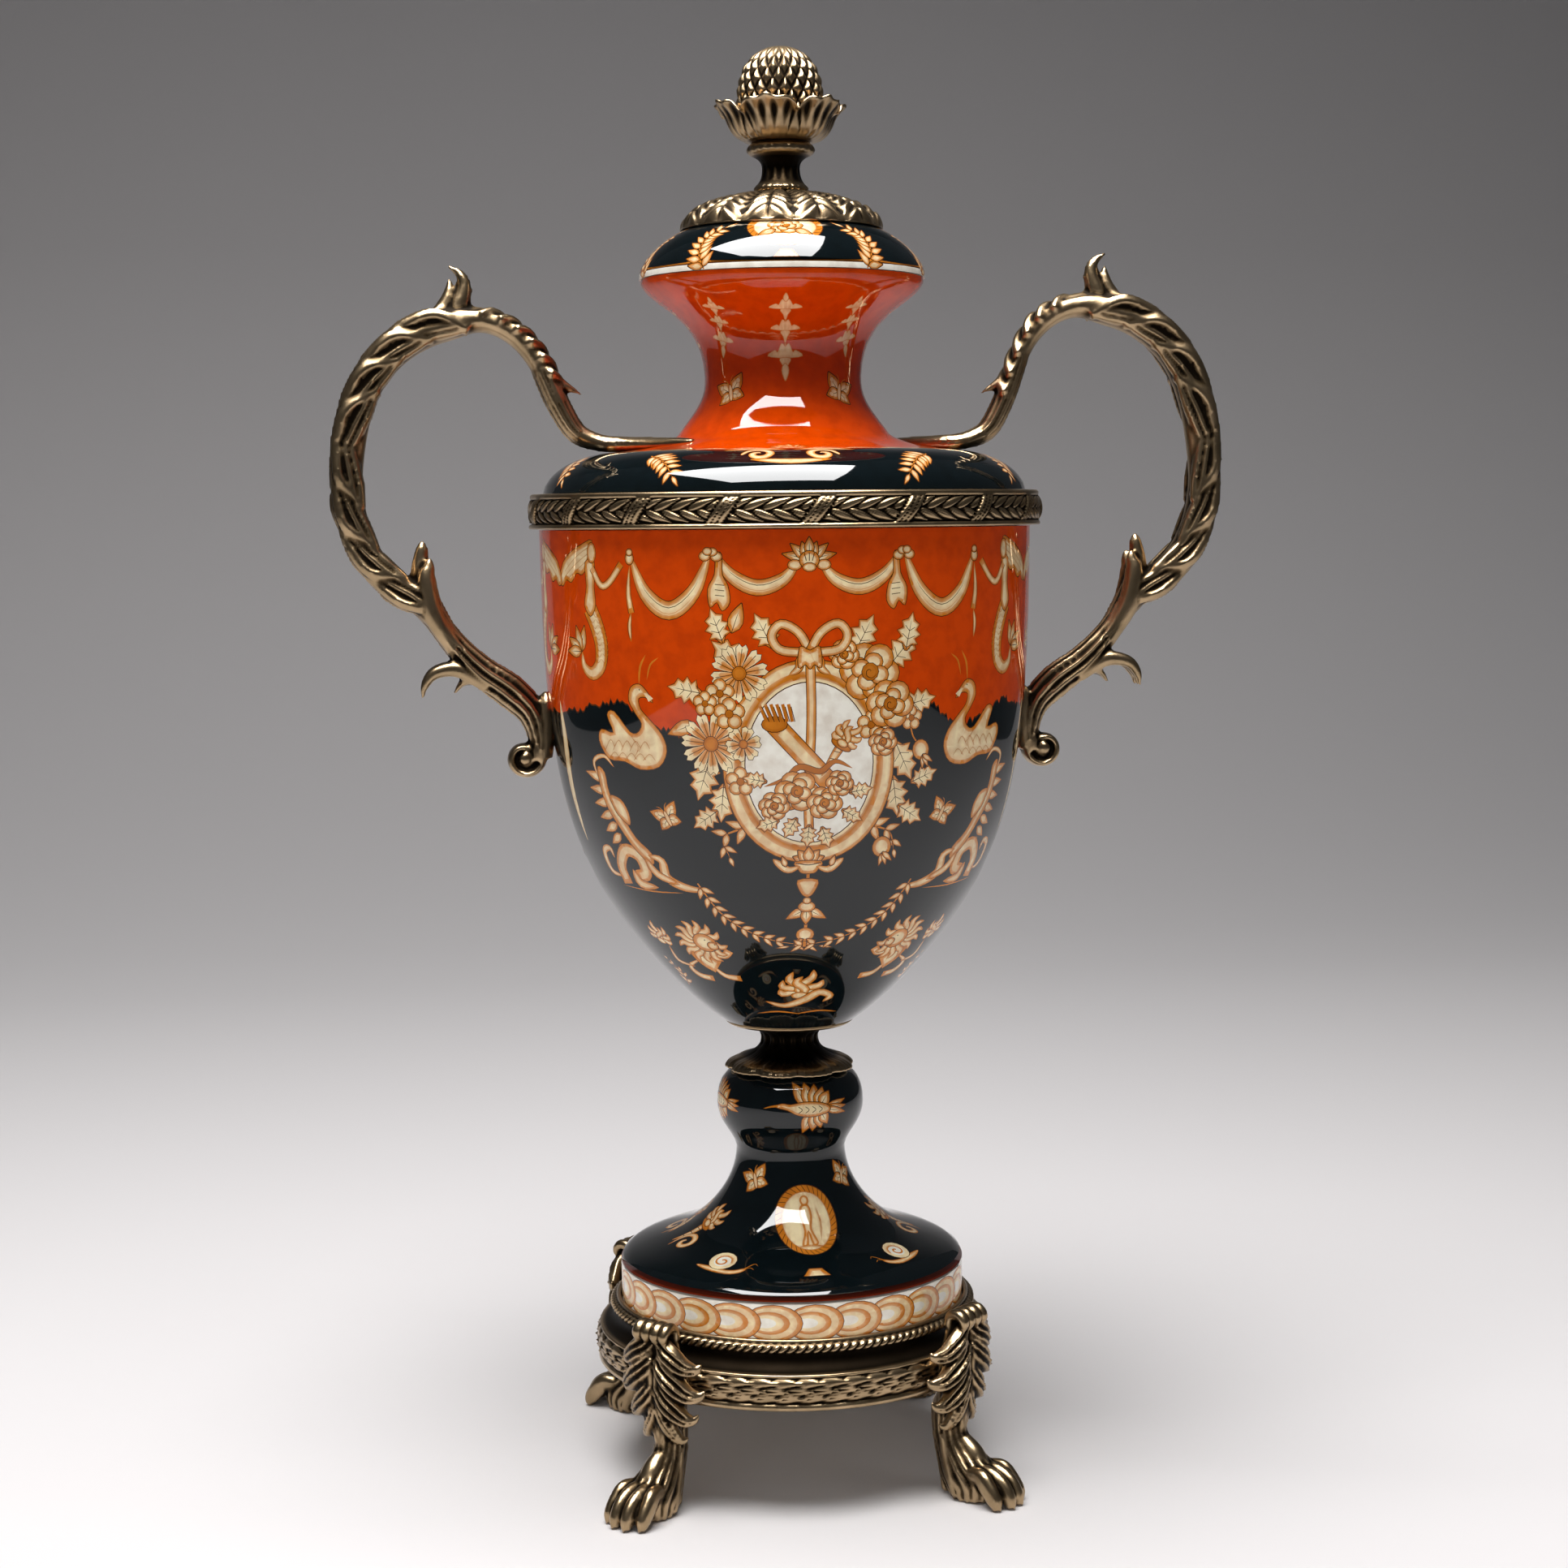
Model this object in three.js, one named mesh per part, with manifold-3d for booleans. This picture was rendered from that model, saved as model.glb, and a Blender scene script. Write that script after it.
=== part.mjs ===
// Porcelain mantel urn in cast bronze mounts: a lidded vessel with two handles, a pedestal and four paw feet.
// Millimetres, +Z up. The origin is on the floor under the middle.
// The painted front faces -Y and the handles lie along X.
import * as THREE from "three";
import { ParametricGeometry } from "three/addons/geometries/ParametricGeometry.js";
import { mergeVertices } from "three/addons/utils/BufferGeometryUtils.js";
import Module from "manifold-3d";

const wasm = await Module();
wasm.setup();

// ---- Driving dimensions ----

const GAP = 0.3; // between pieces that rest on each other
const WALL = 4.5; // porcelain
const ROUND = 22; // segments of a full turn of porcelain
const PLINTH_SIDES = 28; // segments of a full turn of the bronze drum

const PLINTH_BOTTOM = 46.6; // underside of the bronze drum, which the legs carry
const PLINTH_RADIUS = 85.2;
const LEDGE = 70.8; // the drum's ledge, where the porcelain foot stands
const PEDESTAL_TOP = 173.2;
const BODY_BOTTOM = 194.7;
const BODY_RIM = 406.1;
const BODY_RADIUS = 104.4;
const NECK_BOTTOM = 421.3;
const NECK_RIM = 510.1;
const LID_TOP = 534; // the crown of the porcelain, under the bronze cap
const CAP_EDGE = 530.4;
const STEM_BOTTOM = 546.9;
const CUP_BOTTOM = 567.2;
const CONE_BOTTOM = 571.6;
const HEIGHT = 607;

const RIGHT_HANDLE_RISE = 6; // how much taller the right arch stands than the left

const LEG_ANGLES = { front_left: -135, front_right: -45, back_left: 135, back_right: 45 };

// ---- Geometry helpers ----

const vec = (r, z) => new THREE.Vector2(r, z);

// Points of a cubic curve between two [r, z] ends, with its two handles between them.
function bend(start, handleA, handleB, end, steps) {
  const curve = new THREE.CubicBezierCurve(vec(...start), vec(...handleA), vec(...handleB), vec(...end));
  return curve.getPoints(steps).map((p) => [p.x, p.y]);
}

// An outline moved sideways by a distance: to the left of its direction when the distance is positive.
function offset(outline, distance) {
  return outline.map(([r, z], i) => {
    const [r0, z0] = outline[Math.max(i - 1, 0)];
    const [r1, z1] = outline[Math.min(i + 1, outline.length - 1)];
    const length = Math.hypot(r1 - r0, z1 - z0);
    return [r - ((z1 - z0) / length) * distance, z + ((r1 - r0) / length) * distance];
  });
}

// A solid of revolution about Z. The outline starts and ends on the axis, or closes on itself.
function turned(outline, segments = ROUND) {
  const points = outline.map(([r, z]) => vec(Math.max(r, 0), z));
  if (points[0].x > 0) points.push(points[0].clone());
  return new THREE.LatheGeometry(points, segments).rotateX(Math.PI / 2);
}

// A turned body with relief: point(angle, index) gives [r, z] of outline point `index` at that angle.
function carvedTurn(count, closed, segments, point) {
  const shape = (u, v, target) => {
    const column = Math.round(u * segments) % segments;
    const row = Math.round(v * (closed ? count : count - 1)) % count;
    const angle = (column / segments) * 2 * Math.PI;
    const [r, z] = point(column, row);
    target.set(r * Math.cos(angle), r * Math.sin(angle), z);
  };
  return new ParametricGeometry(shape, segments, closed ? count : count - 1);
}

// A limb swept along a curve through stations [x, y, z, halfThickness, halfWidth].
// The thickness lies in the XZ plane.
function limb(stations, steps, sides) {
  const path = new THREE.CatmullRomCurve3(stations.map(([x, y, z]) => new THREE.Vector3(x, y, z)));
  const size = new THREE.CatmullRomCurve3(stations.map((s) => new THREE.Vector3(s[3], s[4], 0)));
  const across = new THREE.Vector3();
  const out = new THREE.Vector3();
  const shape = (u, v, target) => {
    const step = Math.round(u * (steps + 2));
    const t = Math.min(Math.max(step - 1, 0), steps) / steps;
    const isEnd = step === 0 || step === steps + 2;
    const turn = ((Math.round(v * sides) % sides) / sides) * 2 * Math.PI;
    path.getPoint(t, target);
    const along = path.getTangent(t);
    across.set(-along.y, along.x, 0);
    if (across.length() < 0.5) across.set(0, 1, 0);
    else across.normalize();
    if (across.y < 0) across.negate();
    across.lerp(new THREE.Vector3(0, 1, 0), Math.abs(along.z)).normalize();
    out.crossVectors(along, across).normalize();
    const { x: thickness, y: width } = size.getPoint(t);
    if (isEnd) return;
    target.addScaledVector(out, Math.max(thickness, 0.3) * Math.cos(turn));
    target.addScaledVector(across, Math.max(width, 0.3) * Math.sin(turn));
  };
  return new ParametricGeometry(shape, steps + 2, sides);
}

// ---- Joining and cutting ----

function solid(geometry) {
  const bare = geometry.clone();
  for (const name of ["normal", "uv"]) bare.deleteAttribute(name);
  const merged = mergeVertices(bare, 1e-3);
  const vertProperties = merged.attributes.position.array;
  const build = (triVerts) => new wasm.Manifold(new wasm.Mesh({ numProp: 3, vertProperties, triVerts }));
  const triVerts = new Uint32Array(merged.index.array);
  const body = build(triVerts);
  return body.volume() < 0 ? build(triVerts.reverse()) : body;
}

function join(geometries) {
  return geometries.map(solid).reduce((whole, next) => whole.add(next));
}

function geometryOf(body) {
  const mesh = body.getMesh();
  const geometry = new THREE.BufferGeometry();
  geometry.setAttribute("position", new THREE.BufferAttribute(new Float32Array(mesh.vertProperties), 3));
  geometry.setIndex(new THREE.BufferAttribute(new Uint32Array(mesh.triVerts), 1));
  geometry.computeVertexNormals();
  return geometry;
}

// ---- Materials ----

const blackGlaze = new THREE.MeshStandardMaterial({ color: 0x0a1212, roughness: 0.08 });
const orangeGlaze = new THREE.MeshStandardMaterial({ color: 0xc83c0a, roughness: 0.08 });
const bronze = new THREE.MeshStandardMaterial({ color: 0x78623e, roughness: 0.38, metalness: 1 });

// ---- Porcelain ----

// The bowl, from its small foot up to the rim.
function bodyOutline() {
  return [
    ...bend([28.5, BODY_BOTTOM], [49.8, 208.9], [78.1, 244.7], [85.4, 263.7], 4),
    ...bend([85.4, 263.7], [104.9, 303.1], [103.5, 365], [BODY_RADIUS, BODY_RIM], 4).slice(1),
  ];
}

function body() {
  const inner = [
    ...bend([BODY_RADIUS - WALL, BODY_RIM], [99, 365], [100.4, 303.1], [81.2, 265.6], 4),
    ...bend([81.2, 265.6], [74, 247], [46, 213], [24, 201], 3).slice(1),
  ];
  return turned([[0, BODY_BOTTOM], ...bodyOutline(), ...inner, [0, BODY_BOTTOM + WALL]]);
}

// The shoulder and neck in one piece, from the shoulder ring up to the mouth.
function neckOutline() {
  return [
    ...bend([102.4, NECK_BOTTOM], [101.8, 428.3], [91, 436.8], [76, 437.9], 3),
    ...bend([76, 437.9], [64, 438.8], [50, 441.2], [45, 445.2], 2).slice(1),
    ...bend([45, 445.2], [38.6, 454.5], [32.7, 459.4], [33.2, 469.8], 2).slice(1),
    ...bend([33.2, 469.8], [34.2, 496], [55, 498.4], [59.7, 508.3], 4).slice(1),
    [59.7, NECK_RIM],
  ];
}

function neck() {
  const inner = [
    ...bend([53.5, NECK_RIM], [44, 499], [28.7, 490], [28.7, 470], 3),
    ...bend([28.7, 470], [28.5, 458], [36, 447.5], [42.2, 441.7], 2).slice(1),
    ...bend([42.2, 441.7], [46, 438], [60, 433.6], [76, 433.4], 2).slice(1),
    ...bend([76, 433.4], [88, 433.4], [96, 428], [102.4 - WALL, NECK_BOTTOM], 2).slice(1),
  ];
  return turned([...neckOutline(), ...inner]);
}

// A shallow dome with a plug that drops into the mouth.
function lid() {
  const bottom = NECK_RIM + GAP;
  const outer = bend([60.4, bottom], [60.3, 517.6], [49.6, 527.3], [42.3, CAP_EDGE - 0.1], 3);
  const plug = [[46.5, 504.3], [50, bottom]];
  const hollow = [[0, LID_TOP - WALL], [36, 525], [46, 517.5], [45.5, bottom], [42.5, 504.3]];
  return turned([...hollow, ...plug, ...outer, [0, LID_TOP]]);
}

// The knop, the waist and the spreading foot, down to the white band that stands in the bronze drum.
function pedestalOutline() {
  return [
    ...bend([22, PEDESTAL_TOP], [29.5, 172.3], [31.8, 165], [31.8, 157.9], 2),
    ...bend([31.8, 157.9], [31.8, 149], [24.6, 144.3], [23.6, 138.5], 3).slice(1),
    ...bend([23.6, 138.5], [23.6, 126], [31.4, 113.5], [43.7, 105], 3).slice(1),
    ...bend([43.7, 105], [53.4, 98.4], [74.6, 95.6], [74.6, 89.5], 3).slice(1),
    [74.5, LEDGE + GAP],
  ];
}

function pedestal() {
  const inner = [
    ...bend([70, LEDGE + GAP], [70, 94], [52, 93.5], [41.2, 101.4], 3),
    ...bend([41.2, 101.4], [28, 110.5], [19.1, 125], [19.1, 138.5], 2).slice(1),
    ...bend([19.1, 138.5], [20, 147], [27.3, 149], [27.3, 158], 2).slice(1),
    [24.5, 165.5],
    [18, PEDESTAL_TOP - WALL],
  ];
  return turned([[0, PEDESTAL_TOP], ...pedestalOutline(), ...inner, [0, PEDESTAL_TOP - WALL]]);
}

// ---- Turned bronze ----

// The open drum: a lip round the porcelain, a rope, a hollow, a band of laurel and a plain foot.
function plinth() {
  const lip = [[75.4, LEDGE], [75.4, 74], [76.8, 74]];
  const rope = [[78.5, 70.6]];
  const hollow = [[77.2, 68.2], [78.6, 64.6], [82.2, 61.6]];
  const laurel = [[PLINTH_RADIUS, 58.3], [PLINTH_RADIUS, 51.8]];
  const foot = [[84.3, 48.6], [84.6, PLINTH_BOTTOM], [72, PLINTH_BOTTOM], [72, LEDGE]];
  const outline = [...lip, ...rope, ...hollow, ...laurel, ...foot];
  const laurelRows = [lip.length + rope.length + hollow.length, lip.length + rope.length + hollow.length + 1];
  return carvedTurn(outline.length, true, PLINTH_SIDES, (column, row) => {
    const [r, z] = outline[row];
    const leaf = laurelRows.indexOf(row);
    const raised = leaf >= 0 && (column + leaf) % 2 === 1;
    return [raised ? r - 0.9 : r, z];
  });
}

// The laurel band between the bowl and the shoulder, tied with slanting ribbons.
function shoulderRing() {
  const outline = [
    [104.6, BODY_RIM + GAP],
    [108.1, 406.8],
    [109.3, 412.5],
    [109, 416.1],
    [107.2, 419.1],
    [107.2, NECK_BOTTOM - GAP],
    [97, NECK_BOTTOM - GAP],
    [97, BODY_RIM + GAP],
  ];
  const ties = 18;
  const segments = 2 * ties;
  return carvedTurn(outline.length, true, segments, (column, row) => {
    const [r, z] = outline[row];
    const onBand = row === 2 || row === 3;
    const tied = (column + row) % 2 === 0;
    return [onBand && !tied ? r - 0.8 : r, z];
  });
}

// The mount between pedestal and bowl: a flange, a waisted neck and a skirt of leaves over the knop.
function stemCollar() {
  const outline = [
    [0, BODY_BOTTOM - GAP],
    [26.8, BODY_BOTTOM - GAP],
    [25.8, 192.9],
    [17, 190.7],
    [12.6, 187.5],
    [13.8, 181.5],
    [20, 177.6],
    [26.8, 173.2],
    [21, PEDESTAL_TOP + GAP],
    [0, PEDESTAL_TOP + GAP],
  ];
  const skirt = 7;
  return carvedTurn(outline.length, false, 24, (column, row) => {
    const [r, z] = outline[row];
    const between = row === skirt && column % 3 === 0;
    return [between ? r - 1.6 : r, z];
  });
}

function lidCap() {
  const outline = [
    [0, STEM_BOTTOM - GAP],
    [14, STEM_BOTTOM - GAP],
    [25, 543.9],
    [33, 541.1],
    [38.3, 537.8],
    [41.2, 534],
    [42.3, CAP_EDGE + GAP],
    [0, LID_TOP + GAP + 0.1],
  ];
  const leafRows = [2, 3, 4];
  return carvedTurn(outline.length, false, 32, (column, row) => {
    const [r, z] = outline[row];
    const valley = leafRows.includes(row) && column % 2 === 1;
    return [r, valley ? z - 1.1 : z];
  });
}

function finialStem() {
  const outline = [
    [0, STEM_BOTTOM],
    [11, STEM_BOTTOM],
    [10.8, 549.5],
    [9.2, 552.9],
    [7.8, 556.5],
    [8.6, 559.2],
    [11.2, 561.2],
    [13.7, 562.8],
    [13.7, 565.6],
    [12.5, CUP_BOTTOM - GAP],
    [0, CUP_BOTTOM - GAP],
  ];
  return turned(outline, 12);
}

// Six broad leaves that curl out at the lip, with narrow ones standing between them.
function finialLeafCup() {
  const leaves = 6;
  const perLeaf = 4;
  const outline = [
    [0, CUP_BOTTOM],
    [13.2, CUP_BOTTOM],
    [19.6, 571],
    [22.6, 576],
    [25.4, 579.6],
    [27.2, 582.2],
    [24.6, 582.4],
    [20.5, 577.6],
    [18.2, CONE_BOTTOM - GAP],
    [0, CONE_BOTTOM - GAP],
  ];
  const lip = [0, 0, 0.1, 0.3, 0.7, 1, 1, 0.3, 0, 0];
  return carvedTurn(outline.length, false, leaves * perLeaf, (column, row) => {
    const [r, z] = outline[row];
    const across = Math.cos((column / perLeaf) * 2 * Math.PI);
    const curl = Math.cos((column / perLeaf) * 4 * Math.PI);
    return [r + 0.8 * lip[row] * (across - 1), z + 1.5 * lip[row] * curl];
  });
}

// Rows of pointed scales, each with its own raised middle and half a step round from the row below.
function finialCone() {
  const scales = 9;
  const rows = 7;
  const rounded = bend([17.3, CONE_BOTTOM + 2], [19.5, 590.6], [15.5, 604.1], [4, HEIGHT - 0.7], rows + 2);
  const outline = [[0, CONE_BOTTOM], [15.5, CONE_BOTTOM], ...rounded, [0, HEIGHT]];
  return carvedTurn(outline.length, false, 2 * scales, (column, row) => {
    const [r, z] = outline[row];
    const onScales = row > 1 && row < outline.length - 2;
    const raised = onScales && (column + row) % 2 === 0;
    return [onScales && !raised ? r - 1.1 : r, z];
  });
}

// ---- Legs ----

// Horizontal slices of a leg that points along +X: [height, inner x, outer x, half the width].
const LEG_SLICES = [
  [0, 84, 108, 9.5],
  [8, 83, 109, 10.3],
  [14, 80, 100, 8.8],
  [19, 77.5, 94.5, 7.4],
  [29, 74, 91.8, 6.4],
  [37, 73.5, 92, 7.5],
  [44, 73.5, 93.5, 13.5],
  [51, 74, 94.5, 18.5],
  [60, 75, 93.5, 18],
  [68, 76, 91.5, 13.5],
  [73, 78, 93.5, 10.5],
  [77, 81, 92, 8.5],
];

function legBody() {
  const sides = 8;
  const shape = (u, v, target) => {
    const row = Math.round(u * (LEG_SLICES.length + 1)) - 1;
    const [z, inner, outer, halfWidth] = LEG_SLICES[Math.min(Math.max(row, 0), LEG_SLICES.length - 1)];
    const isPole = row < 0 || row === LEG_SLICES.length;
    const side = Math.round(v * sides) % sides;
    const turn = (side / sides) * 2 * Math.PI;
    const lobe = z > 40 && z < 76 && side % 2 === 1 ? 0.9 : 1;
    const middle = (inner + outer) / 2;
    const reach = isPole ? 0 : lobe;
    const halfDepth = (outer - inner) / 2;
    target.set(middle + reach * halfDepth * Math.cos(turn), reach * halfWidth * Math.sin(turn), z);
  };
  return new ParametricGeometry(shape, LEG_SLICES.length + 1, sides);
}

function toe(y, reach) {
  const heel = [101, y * 0.75, 9, 3.4, 2.4];
  const knuckle = [109, y, 7.6, 3.6, 2.9];
  const pad = [reach - 2.5, y * 1.05, 3.8, 3, 2.7];
  const tip = [reach, y * 1.05, 2, 1.2, 1.4];
  return limb([heel, knuckle, pad, tip], 2, 4);
}

// Keeps what lies clear of the drum: above its underside a leg only has the leaf outside the laurel band.
function plinthClearance() {
  const outer = PLINTH_RADIUS + GAP;
  const below = PLINTH_BOTTOM - GAP;
  const top = LEDGE + 20;
  return solid(turned([[0, below], [outer, below], [outer, top], [0, top]], PLINTH_SIDES));
}

function underFloor() {
  return solid(new THREE.BoxGeometry(60, 60, 20).translate(95, 0, -10));
}

function leg(angle) {
  const toes = [toe(-8, 114), toe(-2.8, 117.5), toe(2.8, 117.5), toe(8, 114)];
  const cast = join([legBody(), ...toes]).subtract(underFloor());
  return cast.rotate([0, 0, angle]).subtract(plinthClearance());
}

// ---- Handles ----

// The right-hand handle's main line, from its tip beside the neck over the top and down to the bowl.
const HANDLE_LINE = [
  [41, 30, 441.9, 1.2, 2],
  [48, 21, 441.4, 2.6, 4],
  [58, 9.5, 441.1, 3.1, 5],
  [68, 2.5, 441.2, 3.3, 5.2],
  [78, 0, 442.3, 3.6, 5.2],
  [88, 0, 446.9, 4.6, 5.5],
  [95.5, 0, 459, 5.2, 6],
  [102, 0, 473.5, 5, 6],
  [109.5, 0, 484.3, 5.4, 6],
  [119, 0, 491, 5.2, 6.5],
  [129, 0, 493.5, 5.8, 7.5],
  [140, 0, 491.8, 7.6, 9],
  [151, 0, 488.3, 7.8, 9],
  [162, 0, 480.9, 7, 8],
  [171.5, 0, 469.9, 6.4, 7.5],
  [178, 0, 456, 6.3, 7],
  [181.3, 0, 440.5, 6, 6.8],
  [182.4, 0, 425, 5.9, 6.5],
  [180.3, 0, 409.5, 6.1, 6.5],
  [174.5, 0, 395.5, 6, 6.5],
  [163.8, 0, 384.3, 5, 6.8],
  [151.3, 0, 372.3, 5, 7.2],
  [139.6, 0, 357.3, 5.8, 7.8],
  [129.5, 0, 346.9, 6.7, 8],
  [118, 0, 338.4, 7.4, 8],
  [109.3, 0, 329.2, 6, 7.5],
  [106.5, 0, 317.7, 3.8, 7],
  [107.5, 0, 308.8, 2.6, 6.4],
];

// Leaves that stand off that line, each a short limb that ends in a point.
const HANDLE_LEAVES = {
  flame: [
    [137.5, 0, 494.5, 4.5, 4.5],
    [134.6, 0, 504, 3.7, 4],
    [134.4, 0, 508.5, 2.8, 3],
    [140.2, 0, 515.3, 0.5, 0.6],
  ],
  thorn: [[100, 0, 471.5, 2.5, 3.5], [93.5, 0, 467, 2.4, 3], [85.4, 0, 462.3, 0.5, 0.6]],
  upperTip: [[176, 0, 421.5, 3, 5], [185, 0, 428.5, 2.6, 4], [189.8, 0, 438.5, 0.5, 0.8]],
  middleTip: [[174, 0, 400.5, 3, 5.5], [184.5, 0, 409, 3.2, 4.5], [191, 0, 421, 0.5, 0.8]],
  lowerTip: [[166, 0, 385.5, 3, 5.5], [177.5, 0, 391.3, 3.2, 4.5], [185, 0, 403.5, 0.5, 0.8]],
  bud: [
    [143, 0, 359.6, 5, 7],
    [150.5, 0, 374.5, 6.2, 7],
    [153.6, 0, 388.5, 5.2, 6],
    [153.8, 0, 402, 2.6, 3.5],
  ],
  curl: [
    [127, 0, 341.6, 4, 6],
    [139, 0, 347.6, 4.2, 6.5],
    [149, 0, 346.2, 3.2, 5.5],
    [154, 0, 336.3, 0.6, 2.5],
  ],
};

const SCROLL = { x: 112.6, z: 309.4, radius: 7.6, halfWidth: 5.6 };

function scroll() {
  const disc = new THREE.CylinderGeometry(SCROLL.radius, SCROLL.radius, 2 * SCROLL.halfWidth, 10);
  const eye = new THREE.CylinderGeometry(2.6, 3.6, 2 * SCROLL.halfWidth + 2.4, 6);
  return [disc, eye].map((part) => part.translate(SCROLL.x, 0, SCROLL.z));
}

// What the handle is cut back by: the porcelain it stands against, a little larger.
function porcelainClearance() {
  const bowl = offset(bodyOutline(), -GAP);
  const neckSide = offset(neckOutline(), -GAP);
  neckSide.push([0, NECK_RIM]);
  const bowlSolid = solid(turned([[0, BODY_BOTTOM], ...bowl, [0, BODY_RIM]]));
  const neckSolid = solid(turned([[0, NECK_BOTTOM], ...neckSide]));
  return bowlSolid.add(neckSolid);
}

// The castings were bent a little in fitting: `rise` lifts the arch and leaves both ends where they stand.
function bent(stations, rise) {
  const { smoothstep } = THREE.MathUtils;
  return stations.map(([x, y, z, thickness, width]) => {
    const lift = rise * smoothstep(x, 90, 108) * smoothstep(z, 425, 480);
    return [x, y, z + lift, thickness, width];
  });
}

function handle(rise) {
  const pad = new THREE.BoxGeometry(10, 13, 32).translate(104.5, 0, 320.5);
  const line = limb(bent(HANDLE_LINE, rise), 23, 6);
  const leaves = Object.values(HANDLE_LEAVES).map((stations) => limb(bent(stations, rise), 3, 5));
  return join([line, pad, ...scroll(), ...leaves]).subtract(porcelainClearance());
}

// ---- The urn ----

const urn = new THREE.Group();

// Adds one piece, given as a manifold-3d solid or as a closed geometry, whose faces are then turned outwards.
function place(parent, name, shape, material) {
  const mesh = new THREE.Mesh(geometryOf(shape.isBufferGeometry ? solid(shape) : shape), material);
  mesh.name = name;
  parent.add(mesh);
  return mesh;
}

const base = new THREE.Group();
urn.add(base);
place(base, "plinth_ring", plinth(), bronze);
for (const [corner, angle] of Object.entries(LEG_ANGLES)) place(base, `leg_${corner}`, leg(angle), bronze);
place(base, "pedestal", pedestal(), blackGlaze);
place(base, "stem_collar", stemCollar(), bronze);

const vessel = new THREE.Group();
urn.add(vessel);
place(vessel, "bowl", body(), orangeGlaze);
place(vessel, "shoulder_ring", shoulderRing(), bronze);
place(vessel, "neck", neck(), orangeGlaze);
place(vessel, "handle_right", handle(RIGHT_HANDLE_RISE), bronze);
place(vessel, "handle_left", handle(0), bronze).rotation.z = Math.PI;

const cover = new THREE.Group();
urn.add(cover);
place(cover, "lid", lid(), blackGlaze);
place(cover, "lid_cap", lidCap(), bronze);
place(cover, "finial_stem", finialStem(), bronze);
place(cover, "finial_leaf_cup", finialLeafCup(), bronze);
place(cover, "finial_cone", finialCone(), bronze);

export default urn;
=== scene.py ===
# %% [markdown]
# # A porcelain mantel urn in cast bronze mounts
# The urn is painted porcelain: a lid, a neck, a bowl and a pedestal, all turned on a wheel. Cast bronze
# holds them together: a leafed cap, a laurel band, two handles, a collar and a drum on four paws. The
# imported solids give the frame, with every size and place. Each of them is replaced here by a finer piece
# in the same place, with chasing and brushwork that a plain solid doesn't have.

# %% Load the frame
import math

import bmesh
import bpy
import numpy as np
from mathutils import Matrix, Vector
from mathutils.geometry import delaunay_2d_cdt


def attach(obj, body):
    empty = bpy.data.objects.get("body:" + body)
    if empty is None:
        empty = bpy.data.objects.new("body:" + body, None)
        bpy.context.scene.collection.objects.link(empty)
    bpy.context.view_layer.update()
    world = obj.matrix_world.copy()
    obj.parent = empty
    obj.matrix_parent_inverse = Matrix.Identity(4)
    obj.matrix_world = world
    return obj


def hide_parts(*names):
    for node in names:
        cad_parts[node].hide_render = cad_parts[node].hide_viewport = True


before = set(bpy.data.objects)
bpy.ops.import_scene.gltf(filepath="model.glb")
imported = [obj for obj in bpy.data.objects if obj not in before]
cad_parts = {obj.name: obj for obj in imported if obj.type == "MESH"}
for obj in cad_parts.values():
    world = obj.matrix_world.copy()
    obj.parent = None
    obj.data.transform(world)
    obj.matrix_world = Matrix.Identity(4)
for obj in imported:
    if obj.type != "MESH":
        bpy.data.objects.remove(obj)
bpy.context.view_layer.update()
MM = 0.001
TAU = 2 * math.pi
print("solids:", len(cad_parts))

# %% [markdown]
# ## Outlines
# A turned piece is one outline spun about the upright axis. Outlines are in millimetres, as [radius,
# height]. They could be long lists of points, but one cubic curve for each swelling part keeps them short
# and smooth, the way a turner's template is drawn. The same curves shape the painter's brush strokes.


# %% Curves for outlines and brush strokes
def bend(start, handle_a, handle_b, end, steps=14):
    t = np.linspace(0, 1, steps + 1)[:, None]
    a, b, c, d = (np.array(p, float) for p in (start, handle_a, handle_b, end))
    return (1 - t) ** 3 * a + 3 * t * (1 - t) ** 2 * b + 3 * t * t * (1 - t) * c + t**3 * d


def joined(*pieces):
    """One outline from curves and lists of points, without doubled points."""
    points = np.vstack([np.array(piece, float) for piece in pieces])
    step = np.linalg.norm(np.diff(points, axis=0), axis=1)
    return points[np.concatenate([[True], step > 1e-6])]


def through(points, steps=5):
    """A smooth curve through points of any dimension."""
    p = np.array(points, float)
    p = np.vstack([2 * p[0] - p[1], p, 2 * p[-1] - p[-2]])
    t = np.linspace(0, 1, steps, endpoint=False)[:, None]
    runs = [
        0.5 * (2 * b + (c - a) * t + (2 * a - 5 * b + 4 * c - d) * t**2 + (3 * b - a - 3 * c + d) * t**3)
        for a, b, c, d in zip(p, p[1:], p[2:], p[3:])
    ]
    return np.vstack([*runs, p[-2:-1]])


def evenly(outline, step):
    """The outline with points about `step` apart, which keeps its corners."""
    made = [outline[:1]]
    for a, b in zip(outline, outline[1:]):
        count = max(1, round(float(np.linalg.norm(b - a)) / step))
        made.append(a + (b - a) * np.linspace(0, 1, count + 1)[1:, None])
    return np.vstack(made)


# %% [markdown]
# ## Turned pieces
# `bmesh.ops.spin` turns an outline round the axis. A fine spin is slow, so the outline is spun in a few
# wide steps, `subdivide_edges` cuts each step finer, and the new points are rounded out to the true
# circle. Relief that repeats round a band is then pressed in by a height function, as a chaser works
# round a cast band. A displacement texture could do that too, but a function knows where each leaf starts
# and ends.


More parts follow.
